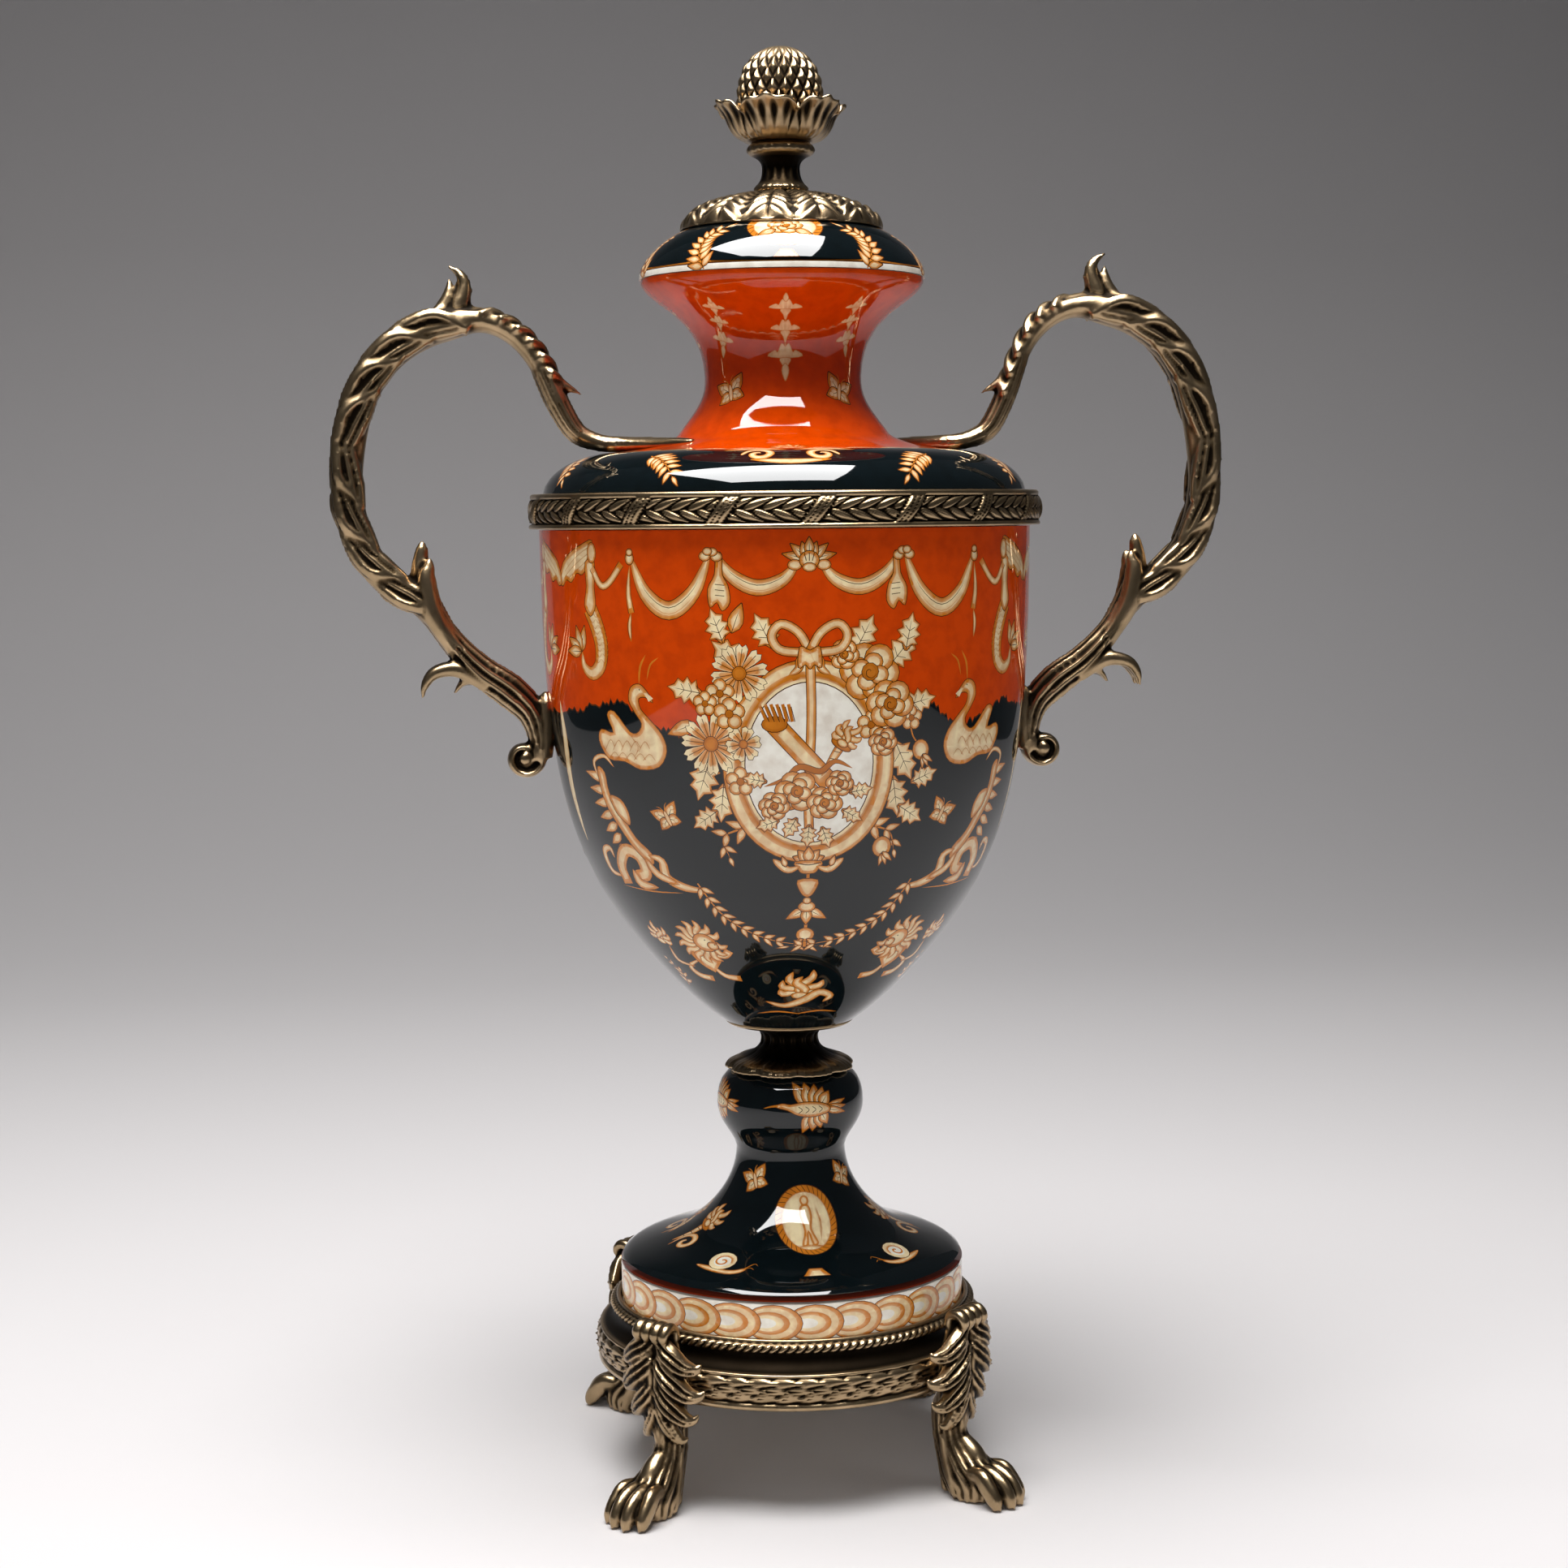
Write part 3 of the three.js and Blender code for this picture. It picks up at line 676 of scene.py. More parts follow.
def bird(size):
    """A bird in flight, facing left, with both wings raised."""
    made = []
    for k in range(5):
        feather = leaf((0.52 - 0.05 * k) * size, 0.24 * size)
        made += moved(feather, (-0.06 + 0.07 * k) * size, 0.06 * size, 112 - 15 * k)
    for k in range(4):
        feather = leaf((0.42 - 0.05 * k) * size, 0.22 * size)
        made += moved(feather, (0.02 + 0.07 * k) * size, -0.06 * size, -108 + 16 * k)
    for turn in (14, 0, -14):
        made += moved(leaf(0.5 * size, 0.13 * size), 0.3 * size, 0, turn)
    body = [
        (-0.62, 0.06), (-0.5, 0.12), (-0.34, 0.1), (-0.1, 0.14), (0.2, 0.12), (0.4, 0.04), (0.4, -0.06),
        (0.1, -0.13), (-0.2, -0.1), (-0.4, 0.0)
    ]
    made += shaped(body, size, 0.04 * size)
    for k in range(4):
        x = (-0.2 + 0.13 * k) * size
        made += pen([(x, 0.06 * size), (x + 0.07 * size, 0), (x, -0.06 * size)], 0.3, "none")
    return made + pen(sized([(-0.58, 0.08), (-0.72, 0.06), (-0.86, 0.02)], size), 0.9, "end", "amber")


def snail(size):
    """A crawling snail that faces right."""
    foot = [
        (-1.0, -0.55), (-0.5, -0.42), (0.2, -0.42), (0.7, -0.3), (0.98, -0.1), (1.1, -0.16), (0.96, -0.42),
        (0.5, -0.62), (-0.4, -0.66)
    ]
    made = shaped(foot, size, 0.07 * size)
    made += disc(-0.1 * size, 0.06 * size, 0.56 * size, 0.54 * size, ("brown", "cream", "white"))
    winding = []
    for k in range(12):
        left = 1 - k / 13
        x, y = 0.42 * size * left * math.cos(k * 0.8), 0.4 * size * left * math.sin(k * 0.8)
        winding.append((x - 0.1 * size, y + 0.06 * size))
    made += pen(winding, 0.9, "none", "amber", 2)
    for tip in (0.28, 0.02):
        made += pen(sized([(1.0, -0.14), (1.2, tip), (1.42, tip - 0.1)], size), 0.4, "end", "amber")
    return made


# %% Framed pictures and stands
def medallion(rx, ry, frame_width):
    """A moulded oval frame round a white field."""
    made = []
    mouldings = (
        ("brown", -0.4), ("amber", 0), ("cream", 0.14), ("amber", 0.5),
        ("gold", 0.7), ("cream", 0.82), ("brown", 0.95), ("white", 1),
    )
    for colour, inset in mouldings:
        step = inset if inset < 0 else inset * frame_width
        made.append((colour, oval(0, 0, rx - step, ry - step, 48)))
    return made


def rope_frame(rx, ry, width, twists):
    """An oval frame of twisted rope round a cream field."""
    made = []
    for colour, inset in (("brown", -0.4), ("amber", 0), ("gold", width), ("cream", width + 0.5)):
        made.append((colour, oval(0, 0, rx - inset, ry - inset, 40)))
    for k in range(twists):
        a = TAU * k / twists
        inner = np.array([(rx - width) * math.cos(a), (ry - width) * math.sin(a)])
        outer = np.array([rx * math.cos(a + 0.14), ry * math.sin(a + 0.14)])
        made.append(("brown", ribbon(np.array([inner, (inner + outer) / 2, outer]), 0.3, "none")))
    return made


def stand(width, height):
    """A small stepped foot under a figure."""
    body = np.array([[-0.5, 0], [0.5, 0], [0.24, 1], [-0.24, 1]])
    return [
        ("brown", body * (width + 1, height + 0.8) - (0, 0.4)), ("amber", body * (width, height)),
        ("cream", body * (width * 0.6, height * 0.7))
    ]


def candelabrum(size):
    """Stacked fans, knops and drops on one upright stem."""
    colours = ("amber", "cream")
    made = pen([(0, -size), (0, 0), (0, size)], 0.7, "none", "amber")
    for y, reach in ((0.62, 0.34), (0.08, 0.3), (-0.5, 0.36)):
        fan = [
            (-0.1, -0.12), (-1.0, 0.0), (-0.6, 0.3), (-0.42, 0.2), (-0.2, 0.7), (0, 0.5), (0.2, 0.7),
            (0.42, 0.2), (0.6, 0.3), (1.0, 0.0), (0.1, -0.12)
        ]
        made += moved(shaped(sized(fan, reach), size, 0.05 * size, colours + ("cream",), 0.3), y=y * size)
        drop = [(-0.3, 0), (0.3, 0), (0.12, -0.4), (0, -0.8), (-0.12, -0.4)]
        made += moved(shaped(sized(drop, reach), size, 0.04 * size, colours, 0.3), y=(y - 0.06) * size)
    made += moved(leaf(0.34 * size, 0.14 * size, colours, False), 0, -0.66 * size, -90)
    return made + moved(leaf(0.24 * size, 0.1 * size, colours, False), 0, 0.8 * size, 90)


def gathered_flower(size):
    """A half open flower over a gathered knot of cloth, at the middle of the top row."""
    made = []
    for side in (-1, 1):
        for k, length in enumerate((1.3, 1.15, 0.9)):
            made += moved(
                leaf(size * length, 0.5 * size), side * 0.1 * size, -0.2 * size, 90 - side * (78 - 30 * k)
            )
        made += disc(side * 0.75 * size, -0.5 * size, 0.36 * size, 0.26 * size, SHADED, 0.3, 10)
    made += moved(leaf(size * 0.9, 0.5 * size), turn=90)
    made += disc(0, -0.25 * size, 0.5 * size, 0.46 * size)
    for x in (-0.26, 0, 0.26):
        made += pen([(x * size, 0.12 * size), (x * 0.6 * size, -0.3 * size)], 0.32, "none")
    return made + disc(0, -0.62 * size, 0.34 * size, 0.22 * size, SHADED, 0.3, 10)


def sea_creature(size):
    """A fish-tailed figure with streaming hair that holds up the end of a swag. Its head is left plain."""
    hair = [
        (0.03, 0.5), (-0.1, 0.47), (-0.24, 0.42), (-0.38, 0.34), (-0.46, 0.2), (-0.4, 0.16), (-0.34, 0.21),
        (-0.26, 0.19), (-0.18, 0.26), (-0.1, 0.25), (-0.02, 0.34)
    ]
    made = shaped(hair, size, 0.03 * size)
    for k in range(3):
        made += pen(
            [
                (-0.02 * size, (0.45 - 0.045 * k) * size), (-0.2 * size, (0.37 - 0.05 * k) * size),
                (-0.36 * size, (0.27 - 0.04 * k) * size)
            ],
            0.35, "none", "gold"
        )
    tail = [
        (-0.02, 0.0), (0.05, -0.12), (0.1, -0.27), (0.08, -0.42), (-0.02, -0.49), (-0.12, -0.44),
        (-0.14, -0.33)
    ]
    made += brush(sized(tail, size), 0.15 * size, "end", 0.35)
    for k in range(9):
        t = k / 9
        x, y = (0.02 + 0.1 * math.sin(2.6 * t)) * size, (-0.04 - 0.38 * t) * size
        for side in (-0.035, 0.035):
            made += pen(
                [
                    (x + (side - 0.03) * size, y), (x + side * size, y - 0.03 * size),
                    (x + (side + 0.03) * size, y)
                ],
                0.28, "none", "gold", 2
            )
    for turn in (75, 108, 150, 180):
        made += moved(leaf(0.2 * size, 0.09 * size), -0.15 * size, -0.33 * size, turn)
    trunk = [
        (-0.06, 0.34), (0.05, 0.34), (0.04, 0.16), (0.05, 0.02), (-0.01, -0.06), (-0.08, 0.02),
        (-0.05, 0.16)
    ]
    made += shaped(trunk, size, 0.028 * size)
    made += brush(
        sized([(0.02, 0.3), (0.12, 0.17), (0.22, 0.2), (0.34, 0.33)], size), 0.05 * size, "none", 0.28
    )
    return made + disc(0.02 * size, 0.41 * size, 0.05 * size, 0.075 * size, SHADED, 0.3)


def drop_ribbon(length):
    """A ribbon that falls in folds from two beads."""
    made = brush([(0, 0), (0.9, -0.35 * length), (-0.4, -0.62 * length)], 2.6, "start")
    made += brush([(-0.2, -0.62 * length), (0.8, -0.8 * length), (0.2, -length)], 1.6, "both")
    return made + disc(0, 0.1 * length, 2.0, 2.4) + disc(0, 0.18 * length, 1.5, 1.3)


# %% A canvas that unrolls a turned surface
def ground(wide, top):
    """A ground that runs right across a canvas, from below its foot up to a distance along it."""
    return np.array([[-wide, -5], [wide, -5], [wide, top], [-wide, top]])


class Canvas:
    """The unrolled front half of a turned surface, on which later strokes cover earlier ones."""

    def __init__(self, outline, ground, turn):
        self.outline = outline
        self.along = np.concatenate([[0], np.cumsum(np.linalg.norm(np.diff(outline, axis=0), axis=1))])
        self.radius = float(outline[:, 0].max())
        self.turn = turn
        self.ground = ground
        self.strokes = []

    def distance(self, height):
        """How far along the outline a height is, where the outline only climbs or only falls."""
        order = np.argsort(self.outline[:, 1])
        return float(np.interp(height, self.outline[order, 1], self.along[order]))

    def put(self, parts, degrees, height, turn=0.0, size=1.0, flip=False, at=None):
        middle = self.distance(height) if at is None else at
        for colour, points in moved(parts, turn=turn, size=size, flip=flip):
            here = np.interp(middle + points[:, 1], self.along, self.outline[:, 0])
            across = math.radians(degrees + self.turn) * self.radius + points[:, 0] * self.radius / here
            self.strokes.append((colour, np.stack([across, middle + points[:, 1]], axis=1)))

    def pair(self, parts, degrees, height, turn=0.0, size=1.0):
        self.put(parts, degrees, height, turn, size)
        self.put(parts, -degrees, height, turn, size, flip=True)

    def area(self, colour, points):
        """A ground area given as [degrees, height] points."""
        flat = [(math.radians(a + self.turn) * self.radius, self.distance(z)) for a, z in points]
        self.strokes.append((colour, np.array(flat)))


def inside(points, outline):
    """True for each point in the closed outline, by its winding number."""
    x, y = points[:, 0], points[:, 1]
    winding = np.zeros(len(points), int)
    for (x0, y0), (x1, y1) in zip(outline, np.roll(outline, -1, axis=0)):
        left = (x1 - x0) * (y - y0) - (x - x0) * (y1 - y0)
        winding += ((y0 <= y) & (y1 > y) & (left > 0)).astype(int)
        winding -= ((y0 > y) & (y1 <= y) & (left < 0)).astype(int)
    return winding != 0


# %% Cut the surface along the strokes and roll it back
SOFT = ("cream", "amber", "gold")


def coloured(canvas, flat, faces):
    """The palette number of the last stroke over each triangle, or of the bare ground."""
    middle = flat[faces].mean(axis=1)
    top = np.zeros(len(faces), int)
    for index, (_, stroke) in enumerate(canvas.strokes):
        low, high = stroke.min(axis=0), stroke.max(axis=0)
        near = np.nonzero(((middle >= low) & (middle <= high)).all(axis=1))[0]
        if len(near):
            top[near[inside(middle[near], stroke)]] = index + 1
    palette = sorted(PAINT)
    named = np.array(
        [palette.index(canvas.ground)] + [palette.index(colour) for colour, _ in canvas.strokes]
    )
    return named[top]


def triangulated(points, edges):
    cut = delaunay_2d_cdt([Vector(p) for p in points], edges, [], 0, 0.02, False)
    return np.array([(v.x, v.y) for v in cut[0]]), np.array(cut[2])


def painted(canvas, cell):
    """Vertices, triangles and corner colours of the painted half, still flat."""
    half = math.pi / 2 * canvas.radius
    height = canvas.along[-1]
    points, edges = [], []
    for _, stroke in canvas.strokes:
        start = len(points)
        points += stroke.tolist()
        edges += [(start + k, start + (k + 1) % len(stroke)) for k in range(len(stroke))]
    flat, faces = triangulated(points, edges)
    shade = coloured(canvas, flat, faces)
    sides = np.sort(np.vstack([faces[:, [0, 1]], faces[:, [1, 2]], faces[:, [2, 0]]]), axis=1)
    owner = np.tile(np.arange(len(faces)), 3)
    order = np.lexsort((sides[:, 1], sides[:, 0]))
    sides, owner = sides[order], owner[order]
    twin = np.nonzero((sides[1:] == sides[:-1]).all(axis=1))[0]
    seen = twin[shade[owner[twin]] != shade[owner[twin + 1]]]
    kept, numbers = np.unique(sides[seen], return_inverse=True)
    columns = np.linspace(-half, half, max(8, round(2 * half / cell)) + 1)
    rows = np.unique(np.round(np.concatenate([canvas.along[::2], [height]]), 5))
    rows = evenly(np.stack([rows, rows], axis=1), cell)[:, 0]
    grid = [(x, y) for y in rows for x in columns]
    across, up = len(columns), len(rows)
    edges = []
    for y in (0, up - 1):
        edges += [(y * across + k, y * across + k + 1) for k in range(across - 1)]
    for x in (0, across - 1):
        edges += [(k * across + x, (k + 1) * across + x) for k in range(up - 1)]
    edges += (numbers.reshape(-1, 2) + len(grid)).tolist()
    flat, faces = triangulated(grid + flat[kept].tolist(), edges)
    middle = flat[faces].mean(axis=1)
    within = (np.abs(middle[:, 0]) < half) & (middle[:, 1] > 0) & (middle[:, 1] < height)
    faces = faces[within]
    shade = coloured(canvas, flat, faces)
    palette = sorted(PAINT)
    corner = np.array([PAINT[colour] for colour in palette])[shade].repeat(3, axis=0)
    soft = np.isin(shade, [palette.index(colour) for colour in SOFT]).repeat(3)
    at = faces.ravel()[soft]
    total = np.stack([np.bincount(at, corner[soft, k], len(flat)) for k in range(3)], axis=1)
    total /= np.maximum(np.bincount(at, minlength=len(flat)), 1)[:, None]
    corner[soft] = 0.35 * corner[soft] + 0.65 * total[at]
    used, faces = np.unique(faces, return_inverse=True)
    return flat[used], faces.reshape(-1, 3), corner.reshape(-1, 3, 3)


def smooth_normals(outline, along, where):
    """The outline's outward normal (radial, upward) at each distance."""
    ahead = np.gradient(outline, along, axis=0)
    ahead /= np.linalg.norm(ahead, axis=1, keepdims=True)
    radial = np.interp(where, along, ahead[:, 1])
    upward = np.interp(where, along, -ahead[:, 0])
    length = np.hypot(radial, upward)
    return radial / length, upward / length


def paint_and_wall(canvas, wall, name, cell=5.0, painted_shading=None):
    """The whole vessel: the painted half, its half turn, and a plain inner wall spun from `wall`.
    The factor by height, where one is given, multiplies the paint: painted shade and painted light."""
    flat, faces, colours = painted(canvas, cell)
    theta = flat[:, 0] / canvas.radius
    r = np.interp(flat[:, 1], canvas.along, canvas.outline[:, 0])
    z = np.interp(flat[:, 1], canvas.along, canvas.outline[:, 1])
    radial, upward = smooth_normals(canvas.outline, canvas.along, flat[:, 1])
    # Painted shade and painted light: the paint is darkened or brightened by height.
    if painted_shading:
        colours = colours * painted_shading(z)[faces][:, :, None]
    points, normals, triangles, shades, uvs = [], [], [], [], []
    for turn in (0.0, math.pi):
        a = theta + turn
        points.append(np.stack([r * np.sin(a), -r * np.cos(a), z], axis=1))
        normals.append(np.stack([radial * np.sin(a), -radial * np.cos(a), upward], axis=1))
        triangles.append(faces + (len(flat) if turn else 0))
        shades.append(colours)
        uvs.append(np.stack([(a + math.pi / 2) / TAU, flat[:, 1] / (TAU * canvas.radius)], axis=1))
    skin = turned(wall, wide_steps=24, cuts=3, name=name + "_wall")
    inner = coordinates(skin)
    inner_normals = np.zeros(len(inner) * 3)
    skin.vertex_normals.foreach_get("vector", inner_normals)
    inner_normals = inner_normals.reshape(-1, 3)
    skin.calc_loop_triangles()
    inner_faces = np.zeros(len(skin.loop_triangles) * 3, int)
    skin.loop_triangles.foreach_get("vertices", inner_faces)
    inner_faces = inner_faces.reshape(-1, 3)
    a = np.arctan2(inner[:, 0], -inner[:, 1])
    start = 2 * len(flat)
    points.append(inner)
    normals.append(inner_normals)
    triangles.append(inner_faces + start)
    shades.append(np.tile(np.array(PAINT["white"]), (len(inner_faces), 3, 1)))
    uvs.append(np.stack([(a + math.pi) / TAU, 0.9 + 0 * a], axis=1))
    points, normals, uvs = np.vstack(points), np.vstack(normals), np.vstack(uvs)
    triangles, shades = np.vstack(triangles), np.vstack(shades)
    mesh = bpy.data.meshes.new(name)
    mesh.from_pydata(points.tolist(), [], triangles.tolist())
    paint = mesh.attributes.new("paint", "FLOAT_COLOR", "CORNER")
    rgba = np.dstack([shades, np.ones(shades.shape[:2])])
    paint.data.foreach_set("color", rgba.ravel())
    corners = triangles.ravel()
    layer = mesh.uv_layers.new(name="OFBake")
    layer.data.foreach_set("uv", uvs[corners].ravel())
    return mesh, normals


def fire(mesh_and_normals, name, nodes):
    """Keeps a painted vessel and gives its glaze the outline's own smooth normals."""
    mesh, normals = mesh_and_normals
    piece = keep(mesh, name, porcelain, nodes)
    mesh.normals_split_custom_set_from_vertices(normals.tolist())
    return piece


# %% [markdown]
# ## The bowl
# The tall bowl is orange above and black below, with a ragged edge between them like burnt grass. Its
# front has swags between bows, an oval medallion in a wreath of flowers, and pairs of creatures. Each
# figure is a function of its size, so the left and right ones are the same strokes, mirrored.

# %% The bowl's outline and grounds
WALL = 4.5
BODY_BOTTOM = 194.7
BODY_RIM = 406.1
MOUTH = 104.4
body_outline = joined(
    bend([28.5, BODY_BOTTOM], [49.8, 208.9], [78.1, 244.7], [85.4, 263.7], 16),
    bend([85.4, 263.7], [104.9, 303.1], [103.5, 365], [MOUTH, BODY_RIM], 24),
)
body_wall = joined(
    [[MOUTH, BODY_RIM], [MOUTH - WALL, BODY_RIM]],
    bend([MOUTH - WALL, BODY_RIM], [99, 365], [100.4, 303.1], [81.2, 265.6], 16),
    bend([81.2, 265.6], [74, 247], [46, 213], [24, 201], 12),
    [[0, 199.2]],
)
body_wall = np.vstack([body_wall, [[0, BODY_BOTTOM], [28.5, BODY_BOTTOM]]])

bowl = Canvas(evenly(body_outline, 4), "orange", turn=-2)
PAST_EDGE = 95
EDGE_RAGGED = 1.6
edge_heights = [
    (-90, 331), (-69, 331), (-56, 335), (-46, 337), (-34, 327), (-27, 325), (-18, 334), (-8, 341),
    (8, 341), (18, 336), (28, 337), (37, 327), (46, 330), (56, 335), (69, 332), (90, 331),
]
rough = np.random.default_rng(7)
edge_line = through(edge_heights, 14)
edge_line[:, 1] += rough.uniform(-EDGE_RAGGED, EDGE_RAGGED, len(edge_line))
bowl.area("brown", [(-PAST_EDGE, BODY_BOTTOM), *(edge_line + (0, 0.7)), (PAST_EDGE, BODY_BOTTOM)])
bowl.area("black", [(-PAST_EDGE, BODY_BOTTOM), *edge_line, (PAST_EDGE, BODY_BOTTOM)])

# %% The top row: swags, knots, hanging ends and sea creatures
for side in (-1, 1):
    bowl.put(swag(0, 0, -34, 3, 12.5, 6), side * 2.0, 394.5, flip=side > 0)
    bowl.put(swag(0, 0, -36, -1, 22, 7), side * 21.5, 397, flip=side > 0)
bowl.put(gathered_flower(7.6), 0, 396)
bowl.pair(drape_end(21, 9.5), 19.5, 396)
bowl.pair(knot(4.6), 21.5, 397)
bowl.pair(drop_ribbon(30), 41.5, 392)
for side in (-1, 1):
    bowl.put(sea_creature(54), side * 54, 375, flip=side > 0)
    bowl.put(sea_creature(54), side * 80, 375, flip=side < 0)

# %% The wreathed medallion
MEDALLION = 314
leaves = (
    (lobed_leaf(17), -14, 352, 142), (lobed_leaf(14), -19, 362, 110), (lobed_leaf(15), -8, 360, 118),
    (lobed_leaf(16), 10, 358, 62), (lobed_leaf(17), 18, 352, 48), (lobed_leaf(15), 22, 358, 78),
    (lobed_leaf(15), 22, 336, 12), (lobed_leaf(15), -24, 342, 170), (lobed_leaf(18), -23, 316, 250),
    (lobed_leaf(16), -20, 306, 262), (lobed_leaf(18), 20, 322, -62), (lobed_leaf(17), 20, 308, -78),
    (lobed_leaf(13), -22, 295, 215), (lobed_leaf(14), 22, 296, -32), (lobed_leaf(13), 25, 305, 20),
    (leaf(13, 6), -26, 330, 200), (leaf(12, 6), -17, 366, 70), (leaf(14, 6), 15, 296, -100),
)
for one, degrees, height, turn in leaves:
    bowl.put(one, degrees, height, turn=turn)
bowl.put(branch([(8, 8), (0, 0), (-10, -5), (-8, -14)], 9, 4, 1.0), -15, 289)
bowl.put(branch([(-8, 8), (0, 0), (9, -4), (12, -12)], 9, 4, 1.0), 15, 289)
bowl.put(bud(8), 19, 279, turn=200)
bowl.put(bud(7.5), 27, 318, turn=-150)
bowl.put(medallion(34.5, 41.5, 9), 0, MEDALLION)
for degrees, height, size, petals in ((-15.5, 350, 11.5, 10), (-22.5, 322, 12.5, 11), (-15, 322, 7, 6)):
    bowl.put(daisy(size, petals), degrees, height)
for degrees, height, size in (
    (-20, 342, 6), (-18, 334, 6.5), (-23.5, 338, 5), (-16, 307, 6), (14, 329, 6), (24, 331, 5)
):
    bowl.put(blossom(size), degrees, height)
for degrees, height, size in ((13.5, 350, 11.5), (18.5, 337, 9.5), (7.5, 357, 5.5), (17, 322, 5.5)):
    bowl.put(rose(size), degrees, height)
bowl.put(brush([(0, 46), (0.5, 20), (-0.5, -10), (0, -27)], 3.4, "none", light=0.4), 0, MEDALLION - 2)
quiver = brush([(-14, 14), (-3, 2), (8, -10)], 7.5, "none", 0.35)
quiver += disc(-14, 14, 5, 3, ("brown", "gold", "amber"))
for k in range(6):
    quiver += pen([(-17 + 2.0 * k, 15), (-20 + 2.3 * k, 22)], 1.3, "none", "gold")
    quiver += pen([(-16 + 2.0 * k, 15), (-19 + 2.3 * k, 21)], 0.35, "none")
bowl.put(quiver, 0, MEDALLION + 2)
bowl.put(moved(torch(13), turn=-32), 7, 321)
sash = [(-18, -2), (-10, 1), (-4, 6), (4, 4), (10, 8), (17, 5)]
bowl.put(brush(sash, 2.2, "both", colours=("brown", "gold")), 0, 307)
for x, y, size in ((-5, -2, 8), (6, -7, 6.5), (-14, -8, 5.5), (12, 1, 5)):
    bowl.put(moved(rose(size), x, y), 0, 305)
for x, y, turn in (
    (-12, -14, 200), (-5, -13, 240), (5, -17, 290), (13, -10, 330), (-17, 2, 170), (16, -3, 10),
    (0, -16, 265)
):
    bowl.put(moved(lobed_leaf(9.5), x, y, turn), 0, 305)
bowl.put(bow(15), 0, 358.5)

# %% The pendant under the medallion
bowl.put(pen([(0, 12), (0, -30)], 1.2, "none", "amber"), 0, 262)
bowl.put(palmette(10.5), 0, 274)
bowl.put(shaped([(-0.5, 0.5), (0.5, 0.5), (0.34, -0.2), (0, -0.5), (-0.34, -0.2)], 8, 1.3), 0, 262.5)
bowl.put(bell(10), 0, 252)
bowl.put(disc(0, 0, 3.6, 3.6), 0, 242)

# %% Creatures and sprigs on the black ground
for side in (-1, 1):
    bowl.put(swan(36), side * 44, 325, flip=side > 0)
    bowl.put(winged_beast(54), side * 47, 286, flip=side > 0)
    bowl.put(lion(27), side * 38, 231, flip=side > 0)
    spray = branch([(0, 0), (9, -17), (24, -28), (43, -32)], 5.6, 11, 0.7, taper=0.15)
    bowl.put(spray, side * 30.5, 264, flip=side > 0)
blades = pen([(0, 0), (1, 7), (4, 12)], 1.0, "both", "amber")
blades += pen([(4, 2), (6, 8), (10, 11)], 0.8, "both", "amber")
for side in (-1, 1):
    bowl.put(blades, side * 40, 345, flip=side > 0)
bowl.pair(butterfly(8.5), 35.5, 291, turn=-22)
bowl.pair(brush([(0, -30), (1.2, -6), (-1, 14), (0, 30)], 5, "both", colours=("gold", "cream")), 72, 306)
bowl.pair(branch([(0, -18), (2, 0), (0, 18)], 6, 5), 86, 300)
bowl.pair(flame(11), 56, 235, turn=20)
bowl.put(flame(17), 0, 212)
bowl.put(brush([(-14, -2), (-6, -5), (2, -1), (8, 4), (13, 1), (10, -3)], 4.6, "both", 0.4), 0, 211)
bowl.pair(pen([(-9, 0), (0, 2), (9, 0)], 1.2, "both", "amber"), 12, 203)
bowl.pair(branch([(0, 0), (-3, 8), (0, 16)], 5, 4), 62, 214)
fire(paint_and_wall(bowl, body_wall, "painted_bowl"), "painted_bowl", ["bowl"])

# %% [markdown]
# ## The neck and shoulder
# A trumpet of orange rises from a flat black shoulder, with a scrolled cream band where the two colours
# meet. A factor on the paint by height paints shade round the waist of the trumpet and light at its foot.

# %% Neck outline, grounds and figures
neck_outline = joined(
    bend([102.4, 421.3], [101.8, 428.3], [91, 436.8], [76, 437.9], 14),
    bend([76, 437.9], [64, 438.8], [50, 441.2], [45, 445.2], 10),
    bend([45, 445.2], [38.6, 454.5], [32.7, 459.4], [33.2, 469.8], 10),
    bend([33.2, 469.8], [34.2, 496], [55, 498.4], [59.7, 508.3], 14),
    [[59.7, 510.1]],
)
neck_wall = joined(
    [[59.7, 510.1], [53.5, 510.1]],
    bend([53.5, 510.1], [50, 502], [29.5, 498], [28.7, 470], 12),
    bend([28.7, 470], [28.5, 458], [34, 451], [42, 441.5], 8),
    bend([42, 441.5], [48, 437], [64, 434.4], [76, 433.4], 8),
    bend([76, 433.4], [90, 432.5], [97, 426], [97.9, 421.3], 8),
    [[102.4, 421.3]],
)
neck = Canvas(evenly(neck_outline, 3), "orange", turn=-5.5)
SHOULDER_TOP = 437.9
seam = neck.distance(SHOULDER_TOP)
neck.strokes.append(("black", ground(200, seam)))
SHOULDER_WAVES = 30


def scroll_band():
    """Cream waves with a black stroke under each crest, on the canvas's own grid."""
    step = neck.radius * TAU / SHOULDER_WAVES
    made = []
    for k in range(-8, 8):
        x = k * step
        wave = [
            (x - 0.1 * step, -1.6), (x + 0.25 * step, 2.2), (x + 0.65 * step, 2.2), (x + 1.1 * step, -1.6)
        ]
        made += brush(wave, 4.6, "both", 0.4, ("brown", "amber", "cream"), light=0.65)
        made += pen(
            [(x + 0.2 * step, -2.0), (x + 0.5 * step, -0.2), (x + 0.8 * step, -2.0)], 1.4, "both", "black"
        )
    return made


